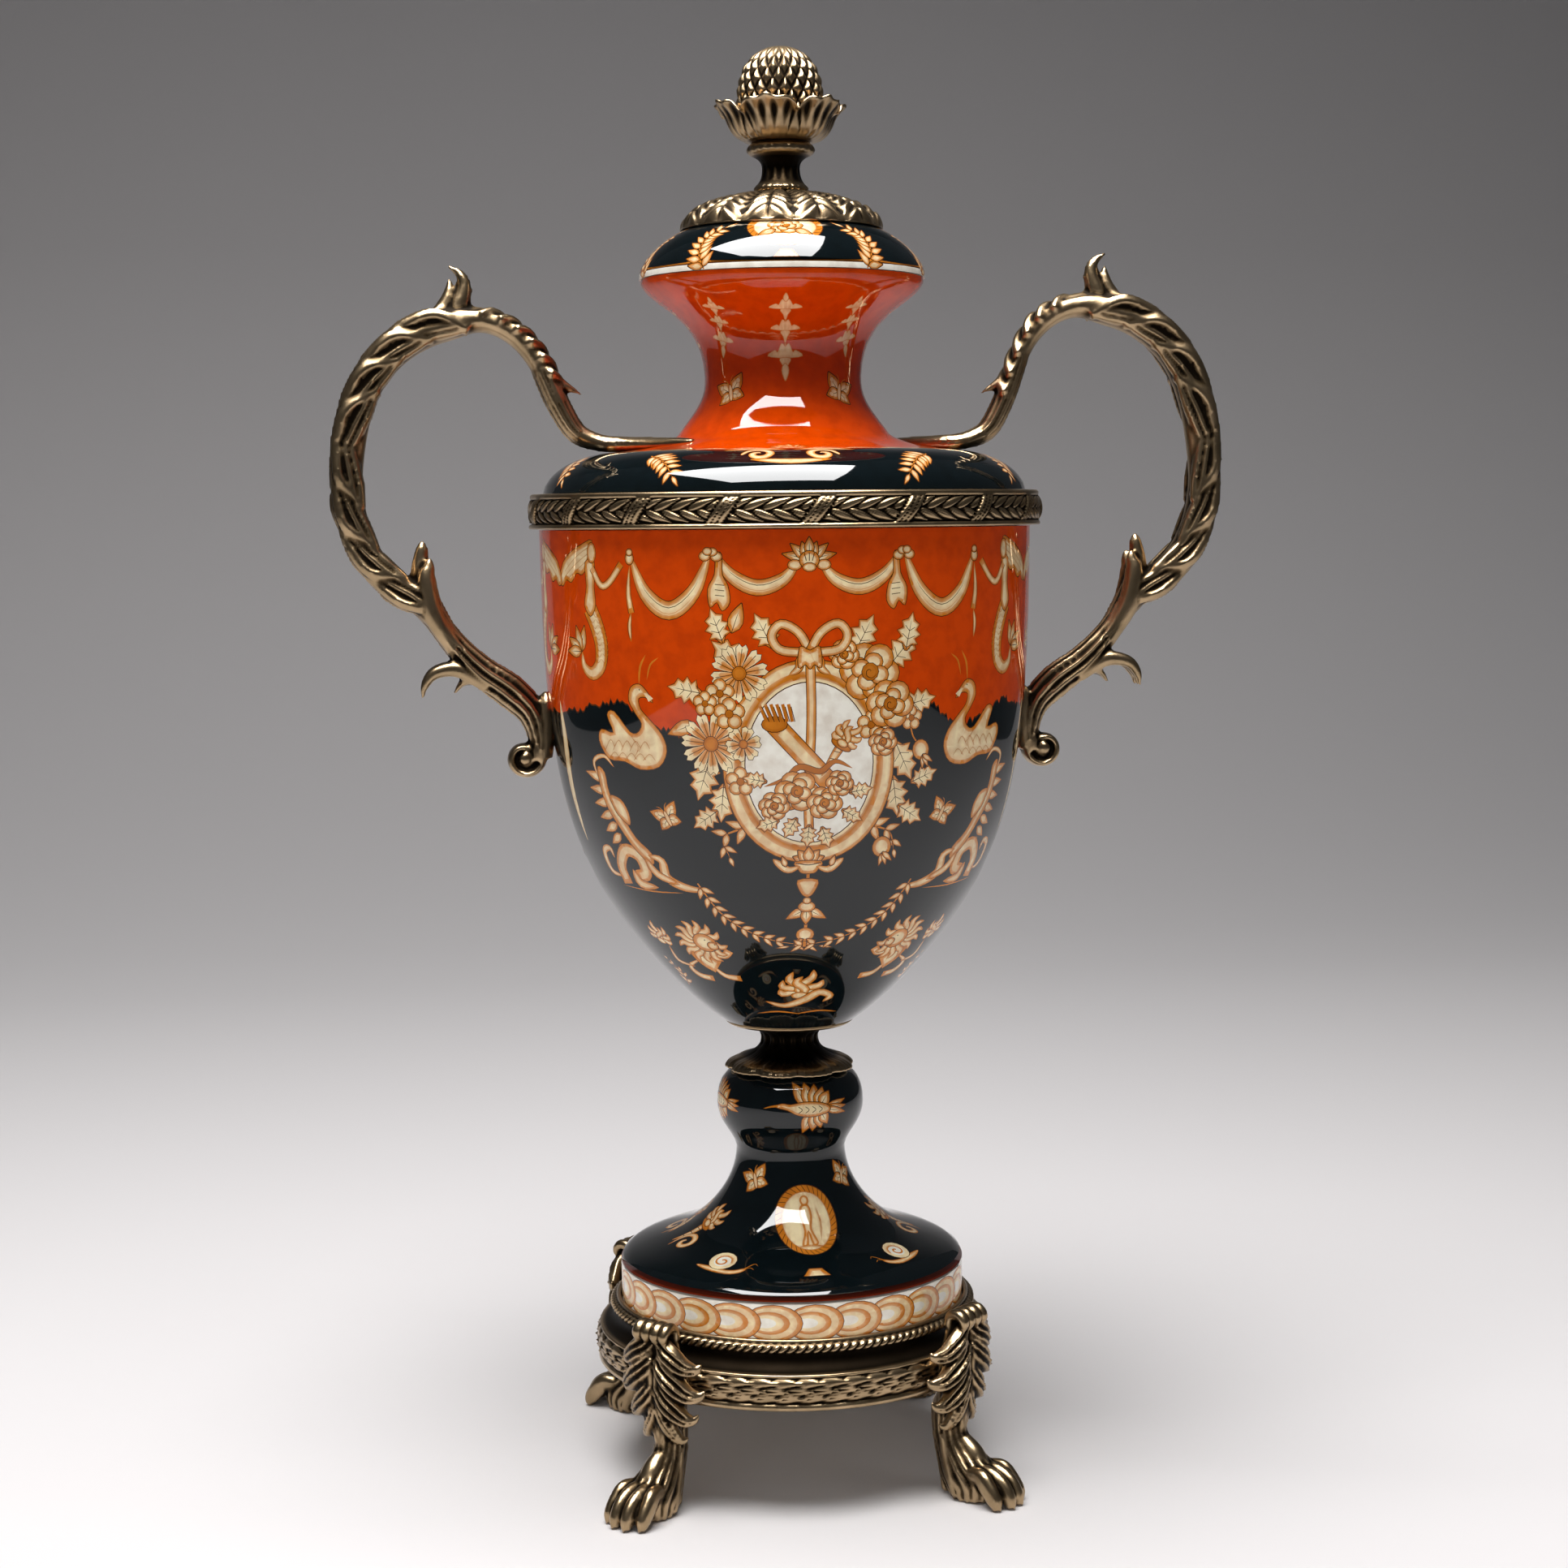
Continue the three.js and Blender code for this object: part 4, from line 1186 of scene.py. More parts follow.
for colour, points in scroll_band():
    neck.strokes.append((colour, points + (0, seam + 0.6)))
fan = []
for k in range(7):
    fan += moved(leaf(11 - abs(k - 3), 4.6, vein=False), 0, 0, 90 + (k - 3) * 26)
neck.put(fan + disc(0, 0, 3.4, 2.6), 0, 0, at=seam + 5)
for side in (-1, 1):
    arm = brush([(0, 0), (-12, 2.4), (-25, -1)], 4.4, "both", 0.4, light=0.6)
    neck.put(arm, side * 1.0, 0, at=seam - 4.5, flip=side > 0)
    neck.put(curl(6.4, 1.35, 3.4, 0.2), side * 8.2, 0, at=seam - 11.5, flip=side > 0)
    for degrees in (33, 72):
        spray = branch(
            [(-9, 5), (-3, 2), (3, -3), (9, -10)], 8.5, 6, 0.8, 48, 0.35, ("brown", "amber", "cream")
        )
        neck.put(spray, side * degrees, 0, at=seam - 17, flip=side > 0)
neck.put(brush([(-16, 0), (0, -1.4), (16, 0)], 3.6, "both", 0.4, light=0.6), 0, 0, at=seam - 17)
neck.put(candelabrum(20), 0, 486)
neck.pair(candelabrum(15), 42, 490, turn=14)
neck.pair(candelabrum(15), 86, 489)
neck.pair(butterfly(9.5), 41, 462, turn=-20)
# Heights of the painted shade at the neck's waist and the painted light at its foot.
NECK_WAIST = 474
NECK_FOOT = 447


def neck_painted_shading(z):
    """Painted shade round the waist of the neck, and painted light at its foot."""
    return 1 - 0.46 * np.exp(-(((z - NECK_WAIST) / 14) ** 2)) + 0.25 * np.exp(-(((z - NECK_FOOT) / 7) ** 2))


neck_vessel = paint_and_wall(neck, neck_wall, "painted_neck", 4, neck_painted_shading)
fire(neck_vessel, "painted_neck", ["neck"])

# %% [markdown]
# ## The lid
# A low black dome with a white rim drops into the mouth by a plug. It lifts off, so it is a hollow,
# closed piece: a painted skin outside and a plain wall inside, which meet at the rim.

# %% Lid outline and figures
lid_outline = joined(
    [[60.4, 510.4], [60.5, 511.6]],
    bend([60.5, 511.6], [60.3, 518], [49.6, 527.3], [42.3, 530.3], 18),
    bend([42.3, 530.3], [34, 532.6], [16, 533.9], [2, 534], 10),
)
lid_wall = np.array(
    [
        [0, 529.5], [20, 528.4], [36, 525], [46, 517.5], [45.5, 510.4], [42.5, 504.3], [46.5, 504.3],
        [50, 510.4], [60.4, 510.4]
    ]
)
lid = Canvas(evenly(lid_outline, 3), "black", turn=-5.5)
for colour, top in (("amber", 3.6), ("brown", 3.0), ("white", 2.3)):
    lid.strokes.append((colour, ground(120, top)))
half_medallion = rope_frame(15.5, 12.5, 2.4, 26) + moved(rose(6.5), 0, 1.5)
half_medallion += moved(leaf(8, 4), 4, -2, -30) + moved(leaf(8, 4), -4, -2, 210)
lid.put(half_medallion, 0, 0, at=lid.distance(527.5))
lid.put(stand(10, 3.4), 0, 0, at=4.4)
for degrees in (37, 76):
    for side in (-1, 1):
        spray = branch(
            [(4, -12), (0, -4), (0, 4), (5, 11)], 7.5, 8, 0.7, 55, 0.3, ("brown", "amber", "cream")
        )
        lid.put(spray, side * degrees, 521, flip=side > 0)
fire(paint_and_wall(lid, lid_wall, "painted_lid", 3.5), "painted_lid", ["lid"])

# %% [markdown]
# ## The pedestal
# A knop, a waist and a spreading foot, all black, end in a white band of overlapping scallops. The
# scallops are laid from right to left, so that each one covers the left end of the one before it.

# %% Pedestal outline and figures
foot_outline = joined(
    [[1.5, 173.3]],
    bend([20, 173.3], [29.5, 172.6], [31.8, 165], [31.8, 157.9], 12),
    bend([31.8, 157.9], [31.8, 149], [24.6, 144.3], [23.6, 138.5], 10),
    bend([23.6, 138.5], [23.6, 126], [31.4, 113.5], [43.7, 105], 12),
    bend([43.7, 105], [53.4, 98.4], [74.6, 95.6], [74.6, 89.5], 14),
    [[74.5, 71.1]],
)[::-1]
foot_wall = np.array(
    [
        [0, 168.7], [18, 168.7], [24.5, 165.5], [27.3, 158], [20, 144], [19.1, 137], [21.5, 124],
        [30.4, 110.3]
    ]
    + [[41.2, 101.4], [61, 93], [70, 87.5], [70, 71.1], [74.5, 71.1]]
)
pedestal = Canvas(evenly(foot_outline, 3), "black", turn=3.5)
band_top = pedestal.distance(89.2)
for colour, top in (("amber", band_top + 0.9), ("rust", band_top + 0.5), ("white", band_top - 0.7)):
    pedestal.strokes.append((colour, ground(130, top)))
SCALLOPS = 27
SCALLOP_MIDDLE = 9.4
step = TAU * pedestal.radius / SCALLOPS
HORSESHOE = (
    ("brown", 12.4, 7.9, 0), ("amber", 12.1, 7.6, 0), ("cream", 10.6, 6.6, 0.6), ("gold", 8.6, 4.9, 1.6),
    ("amber", 8.3, 4.6, 1.6), ("cream", 6.9, 3.5, 2.4), ("white", 4.6, 2.1, 3.4),
)
for k in range(8, -9, -1):
    for colour, rx, ry, behind in HORSESHOE:
        pedestal.strokes.append((colour, oval(k * step - behind, SCALLOP_MIDDLE, rx, ry, 20)))
PEDESTAL_FRAME = 112
pedestal.put(rope_frame(13.4, 17, 2.6, 34), 0, PEDESTAL_FRAME)
GILT = ("gold", "amber", "cream")
cloak = [
    (-3.4, -11), (-1.4, -4), (-2.6, 4), (-1.4, 8), (1.4, 8), (2.4, 3),
    (1.4, -3), (3.4, -10), (1.2, -11), (0, -4), (-1.2, -11),
]
figure = shaped(cloak, 1, 0.7, GILT) + disc(0, 10.3, 1.7, 2.0, GILT)
figure += pen([(-6, -12.4), (0, -11.6), (7, -12.6)], 1.2, "both", "gold")
figure += pen([(5, -9), (6, 0), (4.6, 7)], 0.9, "both", "gold")
pedestal.put(figure, 0, PEDESTAL_FRAME)
pedestal.put(stand(11, 5), -1, 97)
for side in (-1, 1):
    pedestal.put(snail(11), side * 41, 99.2, flip=side > 0, turn=-8)
    pedestal.put(moved(torch(15), turn=-25) + moved(curl(6, 1.2, 3), 2, -12), side * 76, 107, flip=side > 0)
pedestal.pair(butterfly(8.5), 47, 127, turn=-25)
pedestal.put(bird(23), 4, 160)
pedestal.put(bird(20), -84, 160)
foot_vessel = paint_and_wall(pedestal, foot_wall, "painted_pedestal", 4)
fire(foot_vessel, "painted_pedestal", ["pedestal"])

# %% [markdown]
# ## Cast and chased bronze
# Relief that repeats round a band is a height function of the place on the band. The forms that leave the
# surface, such as handles and paws, are limbs: a circle that is extruded along a curve while its section
# changes. A voxel remesh melts the limbs of one casting together, as wax parts are joined before casting.


# %% How hollow each point of a casting is
def store_hollow(mesh, fine=8, broad=36, gain=1.0):
    """Stores 0 on proud edges up to 1 in deep hollows, by how far each point lies below those around it."""
    count = len(mesh.vertices)
    edges = np.zeros(len(mesh.edges) * 2, int)
    mesh.edges.foreach_get("vertices", edges)
    a, b = edges[::2], edges[1::2]
    degree = np.maximum(np.bincount(a, minlength=count) + np.bincount(b, minlength=count), 1)[:, None]
    start = coordinates(mesh)
    normal = np.zeros(count * 3)
    mesh.vertex_normals.foreach_get("vector", normal)
    normal = normal.reshape(-1, 3)
    value = np.full(count, 0.34)
    soft = start
    for turn in range(broad):
        sums = [np.bincount(a, soft[b, k], count) + np.bincount(b, soft[a, k], count) for k in range(3)]
        soft = 0.3 * soft + 0.7 * np.stack(sums, axis=1) / degree
        if turn + 1 in (fine, broad):
            below = ((soft - start) * normal).sum(axis=1)
            value += gain * below * (1.5 if turn + 1 == fine else 0.55)
    mesh.attributes.new("hollow", "FLOAT", "POINT").data.foreach_set("value", np.clip(value, 0, 1))


CUTS = 7


def banded(name, outline, steps, relief, nodes, gain=1.0):
    """A turned bronze piece with relief, spun in `steps` steps in all."""
    mesh = turned(outline, steps // (CUTS + 1), CUTS, name)
    press(mesh, relief)
    store_hollow(mesh, gain=gain)
    return keep(mesh, name, bronze, nodes)


# %% Leaves laid along a band
def laid_leaf(u, v, length, half_width):
    """Height of one leaf that lies along u from 0 to length, with a vein down its middle."""
    along = np.clip(u / length, 0, 1)
    width = half_width * np.sin(math.pi * along**0.65) + 1e-6
    side = np.abs(v) / width
    body = np.sqrt(np.clip(1 - side, 0, 1)) * (0.45 + 0.55 * along)
    vein = 0.3 * np.exp(-((v / 0.35) ** 2)) * (along < 0.9)
    return np.where((u > 0) & (u < length) & (side < 1), body - vein, 0)


def laurel(u, v, pitch, length, half_width, rows):
    """Rows of overlapping leaves: each row is (offset across, offset along as a part of the pitch, slope)."""
    top = np.zeros_like(u)
    for across, ahead, slope in rows:
        for k in (0, 1):
            along = (u / pitch + ahead) % 1 * pitch + k * pitch
            top = np.maximum(top, laid_leaf(along, v - across - slope * along, length, half_width))
    return top


# %% The shoulder band
RING_TIES = 18
RING_LEAVES = 91
RING_PITCH = 7.5
RING_MIDDLE = 413.7
RING_RADIUS = 109
TIE_HALF = 3.45


def ring_relief(angle, r, z):
    u = angle * RING_LEAVES * RING_PITCH / TAU
    v = z - RING_MIDDLE
    on_band = (np.abs(v) < 5.1) & (r > 106)
    rows = ((0.4, 0.0, 0.36), (-0.4, 0.5, -0.36))
    leaves = laurel(u, v, RING_PITCH, 12.5, 1.75, rows)
    pitch = TAU * RING_RADIUS / RING_TIES
    tie = (angle * RING_RADIUS - 0.75 * v + pitch / 2) % pitch - pitch / 2
    stripes = np.abs(np.cos(tie * math.pi / 2.3))
    tied = np.abs(tie) < TIE_HALF
    height = np.where(tied, 0.6 + 1.3 * np.sqrt(stripes), 2.2 * leaves)
    gap = (np.abs(tie) > TIE_HALF) & (np.abs(tie) < 4.3)
    crown = np.sqrt(np.clip(1 - (v / 5.6) ** 2, 0, 1))
    return np.where(on_band, np.where(gap, -1.1, height - 1.0) * crown, 0), 0 * r


ring_outline = joined(
    [[97, 406.4], [104.7, 406.4], [108.3, 406.5], [108.7, 407.2], [108.4, 408.1], [107.7, 408.6]],
    bend([107.7, 408.8], [109.2, 411], [109.2, 416.4], [107.7, 418.6], 26),
    [[107.9, 419], [108, 420.2], [107.3, 421], [97, 421], [97, 406.4]],
)
banded(
    "laurel_band", evenly(ring_outline, step=0.95), steps=768, relief=ring_relief, nodes=["shoulder_ring"],
    gain=1.2
)

# %% The drum under the pedestal
ROPE_HEIGHT = 70.6
DRUM_MIDDLE = 55
DRUM_LEAVES = 54
DRUM_PITCH = 9.8


def drum_relief(angle, r, z):
    u = angle * DRUM_LEAVES * DRUM_PITCH / TAU
    rope_v = z - ROPE_HEIGHT
    strands = np.sin(TAU * (u * 2.5 / DRUM_PITCH - rope_v / 4.2))
    rope = 0.75 * strands * np.sqrt(np.clip(1 - (rope_v / 2.2) ** 2, 0, 1))
    v = z - DRUM_MIDDLE
    rows = ((-3.3, 0.0, 0.0), (0.0, 0.5, 0.0), (3.3, 0.0, 0.0), (-1.6, 0.75, -0.16), (1.6, 0.25, 0.16))
    leaves = laurel(u, v, DRUM_PITCH, 12.5, 2.4, rows)
    crown = np.sqrt(np.clip(1 - (v / 6.2) ** 2, 0, 1))
    on_rope = (np.abs(rope_v) < 2.2) & (r > 76.5)
    on_laurel = (np.abs(v) < 5.6) & (r > 83)
    return np.where(on_rope, rope, np.where(on_laurel, (2.3 * leaves - 1.1) * crown, 0)), 0 * r


drum_outline = joined(
    [[72, 46.6], [84.5, 46.6], [85, 47.2], [84.9, 48.6], [84.2, 49.3]],
    bend([84.2, 49.3], [85.9, 51.5], [85.9, 58.5], [84.2, 60.7], 20),
    [[84.3, 61.3], [83.7, 61.6]],
    bend([83.7, 61.6], [79.5, 61.8], [77.3, 65], [77.2, 68.3], 12),
    bend([77.2, 68.6], [79.6, 68.8], [79.6, 72.4], [77.2, 72.6], 10),
    [[76.9, 72.9], [76.9, 73.8], [76.5, 74.1], [75.2, 74.1], [75.2, 70.8], [72, 70.8], [72, 46.6]],
)
banded(
    "drum", evenly(drum_outline, step=1.1), steps=576, relief=drum_relief, nodes=["plinth_ring"], gain=1.1
)

# %% The collar between pedestal and bowl
COLLAR_ARCHES = 16
COLLAR_WAIST = 186
SKIRT_FOLDS = 9
SKIRT_RIBS = 54
SKIRT_TOP = 182


def collar_relief(angle, r, z):
    arch = np.abs((angle * COLLAR_ARCHES / TAU) % 1 - 0.5) * 2
    neck_part = np.clip(1 - ((z - COLLAR_WAIST) / 3.4) ** 2, 0, 1)
    dents = -1.4 * neck_part * np.clip(1 - (arch / 0.62) ** 2, 0, 1)
    fold = np.abs((angle * SKIRT_FOLDS / TAU) % 1 - 0.5) * 2
    skirt = np.clip((SKIRT_TOP - z) / 8, 0, 1)
    ribs = 0.35 * np.cos(angle * SKIRT_RIBS)
    return dents + skirt * (-2.6 * fold**3 + ribs), 0 * r


collar_outline = joined(
    [[0, 194.4], [27.2, 194.4], [27.5, 193.6], [26, 192.6], [24, 192.4]],
    bend([24, 192.4], [17, 191.6], [12.4, 190], [12.4, 186], 14),
    bend([12.4, 186], [12.4, 182], [15, 179.8], [20, 178.2], 10),
    bend([20, 178.2], [25, 176.8], [27.6, 175.4], [28, 173.2], 10),
    [[27.4, 172.8], [21, 173.5], [0, 173.5]],
)
banded(
    "leafed_collar", evenly(collar_outline, step=1.1), steps=192, relief=collar_relief,
    nodes=["stem_collar"]
)

# %% The cap on the lid
CAP_LEAVES = 12
CAP_TOP_RADIUS = 11


def cap_relief(angle, r, z):
    place = (angle * CAP_LEAVES / TAU) % 1 - 0.5
    arc = np.abs(place) * TAU * np.maximum(r, 1) / CAP_LEAVES
    span = np.clip((r - CAP_TOP_RADIUS) / 31, 0, 1)
    half = (2.4 + 8.6 * span) * (0.93 + 0.09 * np.cos(r * 1.5))
    round_top = np.sqrt(np.clip(1 - (arc / half) ** 2, 0, 1))
    veins = 0.36 * np.cos(TAU * (r / 4.4 - np.abs(place) * 2.6)) * np.clip(arc / 1.2, 0, 1)
    groove = 0.45 * np.exp(-((arc / 0.6) ** 2))
    height = round_top + (veins - groove) * round_top
    on = (z > 531.4) & (r > CAP_TOP_RADIUS)
    lift = 2.1 * (height - 0.9) * (0.35 + 0.65 * span)
    return np.where(on, 0.5 * (height - 0.5) * span, 0), np.where(on, lift, 0)


cap_outline = joined(
    [[0, 534.4], [41, 531.2], [42.6, 530.6], [42.9, 531.3], [42.5, 532.2]],
    bend([42.5, 532.2], [41.4, 537], [36, 541], [25, 544], 26),
    bend([25, 544], [20, 545.3], [15, 546.2], [11.4, 546.5], 12),
    [[0, 546.6]],
)
banded("leafed_cap", evenly(cap_outline, step=1.1), steps=320, relief=cap_relief, nodes=["lid_cap"])

# %% The finial: stem, leaf cup and cone
stem_outline = joined(
    [[0, 546.9], [11.2, 546.9], [11.4, 548.2], [10.6, 549.4]],
    bend([10.6, 549.4], [8.6, 551], [7.6, 554], [7.8, 556.6], 10),
    bend([7.8, 556.6], [8, 559], [9.6, 560.6], [12.4, 561.8], 8),
    bend([12.4, 561.8], [14.8, 562.4], [14.8, 565.6], [12.6, 566.4], 8),
    [[12.4, 566.9], [0, 566.9]],
)


STEM_REEDS, STEM_BEADS, FOOT_BEADS = 555, 564, 548.2


def stem_relief(angle, r, z):
    """Reeds round the waist of the stem, and a row of beads above and below them."""
    reeds = np.clip(1 - np.abs(z - STEM_REEDS) / 5, 0, 1)
    beads = np.clip(1 - np.abs(z - STEM_BEADS) / 2, 0, 1)
    foot_beads = np.clip(1 - np.abs(z - FOOT_BEADS) / 1.4, 0, 1)
    dots = np.abs(np.sin(angle * 12))
    return 0.25 * reeds * np.cos(angle * 14) + 0.5 * (beads + foot_beads) * (dots - 0.5), 0 * r


banded(
    "finial_baluster", evenly(stem_outline, step=0.8), steps=144, relief=stem_relief, nodes=["finial_stem"]
)
CUP_LEAVES = 6
CUP_FOOT = 568


def cup_relief(angle, r, z):
    place = (angle * CUP_LEAVES / TAU - 0.17) % 1 - 0.5
    high = np.clip((z - CUP_FOOT) / 14, 0, 1)
    arc = np.abs(place) * 2
    wide = 0.7 + 0.24 * high
    broad = np.sqrt(np.clip(1 - (arc / wide) ** 2, 0, 1))
    ribs = 0.2 * np.cos(place * TAU * 4 / wide) * broad
    between = np.clip((arc - wide) / 0.12, 0, 1) * 0.3
    height = np.maximum(broad + ribs, between)
    outer = r > 12.5
    swell = 2.8 * (height - 0.8) * (0.4 + 0.6 * high)
    tips = high**4 * (4.4 * (broad - 0.8) + 0.6 * np.cos(place * TAU * 3))
    return np.where(outer, swell, 0), np.where(outer, tips, 0)


cup_outline = joined(
    [[0, 567.2], [13, 567.2]],
    bend([13, 567.2], [19, 567.6], [21, 571.6], [22.4, 575.6], 16),
    bend([22.4, 575.6], [23.6, 579], [25.4, 579.6], [27.2, 581.8], 12),
    [[27.2, 582.6], [26, 582.4]],
    bend([26, 582.4], [23, 580.6], [20.4, 578], [18.4, 571.4], 12),
    [[0, 571.4]],
)
banded("leaf_cup", evenly(cup_outline, step=0.9), steps=240, relief=cup_relief, nodes=["finial_leaf_cup"])
CONE_SCALES = 20
CONE_DIAMOND = 9.4
CONE_FOOT = 573
CONE_TIP = 607


def cone_relief(angle, r, z):
    across = angle * CONE_SCALES / TAU
    up = (z - CONE_FOOT) / CONE_DIAMOND
    p = (across + up) % 1 - 0.5
    q = (across - up) % 1 - 0.5
    edge = 1 - np.maximum(np.abs(p), np.abs(q)) * 2
    scale = np.clip(edge / 0.7, 0, 1) ** 0.8 * (0.75 + 0.6 * (p - q))
    on = (z > 572.4) & (r > 1.5)
    top = np.clip((CONE_TIP - z) / 8, 0.2, 1)
    return np.where(on, 2.0 * (scale - 0.5) * top, 0), 0 * r


cone_outline = joined(
    [[0, 571.7], [15.5, 571.7], [17, CONE_FOOT]],
    bend([17, CONE_FOOT], [20, 590], [15.8, 604], [4, 606.4], 60),
    [[0, CONE_TIP]],
)
banded(
    "cone", evenly(cone_outline, step=0.6), steps=288, relief=cone_relief, nodes=["finial_cone"], gain=1.1
)


# %% [markdown]
# ## Limbs
# Handles and legs are built from limbs. Sculpting would give freer forms, but a limb needs only a few
# stations of [x, y, z, half thickness, half width], which stay easy to change. Ribs along one side of its
# section draw the veins of a leaf, and lobes all round it draw flutes.


# %% Extrude a section along a curve
def limb(whole, stations, steps=5, sides=14, ribs=0, depth=0.0, lobes=0, across=(0, 1, 0)):
    """Adds a closed limb to `whole`. Ribs run along its outer side, and lobes run all round it."""
    bm = bmesh.new()
    line = through(stations, steps)
    ahead = np.gradient(line[:, :3], axis=0)
    ahead /= np.maximum(np.linalg.norm(ahead, axis=1, keepdims=True), 1e-9)
    wide = np.array(across, float) - (ahead @ np.array(across, float))[:, None] * ahead
    wide /= np.maximum(np.linalg.norm(wide, axis=1, keepdims=True), 1e-9)
    out = np.cross(ahead, wide)
    turn = np.arange(sides) / sides * TAU
    ring = bmesh.ops.create_circle(bm, cap_ends=False, radius=1, segments=sides)["verts"]
    edges = [bm.edges.get((ring[k], ring[k - 1])) for k in range(sides)]
    first = list(edges)
    for k, (x, y, z, thick, broad) in enumerate(line):
        if k:
            made = bmesh.ops.extrude_edge_only(bm, edges=edges)["geom"]
            fresh = {v for v in made if isinstance(v, bmesh.types.BMVert)}
            ring = [next(e.other_vert(v) for e in v.link_edges if e.other_vert(v) in fresh) for v in ring]
            edges = [bm.edges.get((ring[i], ring[i - 1])) for i in range(sides)]
        round_it = 1 + depth * np.cos(lobes * turn) if lobes else 1
        lift = np.cos(turn)
        if ribs:
            outer_side = np.sqrt(np.clip(np.cos(turn), 0, 1))
            lift = lift + depth * np.cos(ribs * math.pi * np.sin(turn)) * outer_side
        sheet = np.outer(max(thick, 0.25) * lift * round_it, out[k])
        sheet += np.outer(max(broad, 0.25) * np.sin(turn) * round_it, wide[k])
        for vert, offset in zip(ring, sheet):
            vert.co = Vector((x, y, z)) + Vector(offset)
    bmesh.ops.edgeloop_fill(bm, edges=first)
    bmesh.ops.edgeloop_fill(bm, edges=edges)
    bmesh.ops.recalc_face_normals(bm, faces=bm.faces)
    made = mesh_of(bm, "limb")
    whole.from_mesh(made)
    bpy.data.meshes.remove(made)


def melted(bm, name, voxel, smoothing=3):
    """One skin round all the limbs of a casting."""
    rough_piece = bpy.data.objects.new(name + "_wax", mesh_of(bm, name + "_wax"))
    bpy.context.scene.collection.objects.link(rough_piece)
    remesh = rough_piece.modifiers.new("melt", "REMESH")
    remesh.mode = "VOXEL"
    remesh.voxel_size = voxel
    smooth = rough_piece.modifiers.new("polish", "SMOOTH")
    smooth.factor = 0.5
    smooth.iterations = smoothing
    graph = bpy.context.evaluated_depsgraph_get()
    mesh = bpy.data.meshes.new_from_object(rough_piece.evaluated_get(graph))
    mesh.name = name
    bpy.data.objects.remove(rough_piece)
    return mesh


def turned_copy(mesh, name, degrees):
    """The same casting, turned about the upright axis."""
    copy = mesh.copy()
    copy.name = name
    c, s = math.cos(math.radians(degrees)), math.sin(math.radians(degrees))
    copy.transform(((c, -s, 0, 0), (s, c, 0, 0), (0, 0, 1, 0), (0, 0, 0, 1)))
    return copy


# %% [markdown]
# ## Handles
# Both handles are one casting. From the foot of the neck a fluted strap rises to a slanting row of beads,
# then to a flame at the top. Long leaves lie along the outer side and on both faces, and below them a
# fluted bundle ends in a scroll. The right one was bent a little taller in fitting.

# %% The main line of a handle
HANDLE_LINE = (
    (41, 30, 441.9, 1.2, 2), (48, 21, 441.6, 2.4, 4), (58, 9.5, 441.5, 2.8, 5), (68, 2.5, 441.7, 3.1, 5.2),
    (78, 0, 442.5, 3.4, 5.2), (88, 0, 446.9, 4.2, 5.5), (95.5, 0, 459, 4.7, 5.8), (102, 0, 473.5, 4.4, 5.6),
    (109.5, 0, 484.3, 4.6, 5.6), (119, 0, 491, 4.6, 6), (129, 0, 493.5, 5.2, 7), (140, 0, 491.8, 6.6, 8),
    (151, 0, 488.3, 6.8, 8), (162, 0, 480.9, 6.2, 7.4), (171.5, 0, 469.9, 5.6, 6.8),
    (178, 0, 456, 5.6, 6.4),
    (181.3, 0, 440.5, 5.4, 6.2), (182.4, 0, 425, 5.2, 6), (180.3, 0, 409.5, 5.2, 6),
    (174.5, 0, 395.5, 5.2, 6),
    (163.8, 0, 384.3, 4.6, 6.2), (151.3, 0, 372.3, 4.4, 6.6), (139.6, 0, 357.3, 5, 7),
    (129.5, 0, 346.9, 6, 7.2),
    (118, 0, 338.4, 6.6, 7.2), (109.3, 0, 329.2, 5.6, 6.8), (106.5, 0, 317.7, 3.8, 6.4),
    (107.5, 0, 308.8, 2.6, 6),
)
handle_line = through(HANDLE_LINE, 12)
handle_way = np.concatenate([[0], np.cumsum(np.linalg.norm(np.diff(handle_line[:, :3], axis=0), axis=1))])
handle_ahead = np.gradient(handle_line[:, :3], axis=0)


def on_handle(way, proud=0.0, aside=0.0):
    """The point at a distance along the handle, `proud` of its line on the outer side."""
    point = np.array([np.interp(way, handle_way, handle_line[:, k]) for k in range(3)])
    ahead = np.array([np.interp(way, handle_way, handle_ahead[:, k]) for k in range(3)])
    ahead /= np.linalg.norm(ahead)
    outer = np.array([-ahead[2], 0, ahead[0]])
    return point + outer * proud + np.array([0, aside, 0])


def way_of(x, z):
    """The distance along the handle nearest a point."""
    return float(handle_way[np.argmin(np.hypot(handle_line[:, 0] - x, handle_line[:, 2] - z))])


print("handle length", round(float(handle_way[-1])), "mm")


# %% Two ways to lay a leaf on a handle
def laid_on_handle(bm, start, end, aside, proud, width, thick=2.0):
    """A leaf along the handle from its root to a tip that lifts off the surface."""
    places = ((0, -0.6), (0.35, 0.75), (0.7, 1.0), (1, 1.25))
    sizes = ((thick, width * 0.6), (thick, width), (thick * 0.8, width * 0.75), (0.4, 0.5))
    stations = []
    for (t, lift), (thickness, half) in zip(places, sizes):
        point = on_handle(start + (end - start) * t, proud * lift, aside * (1 - 0.25 * t))
        stations.append((*point, thickness, half))
    forward = 1 if end > start else -1
    limb(bm, stations, steps=7, sides=24, ribs=3, depth=0.42, across=(0, forward, 0))


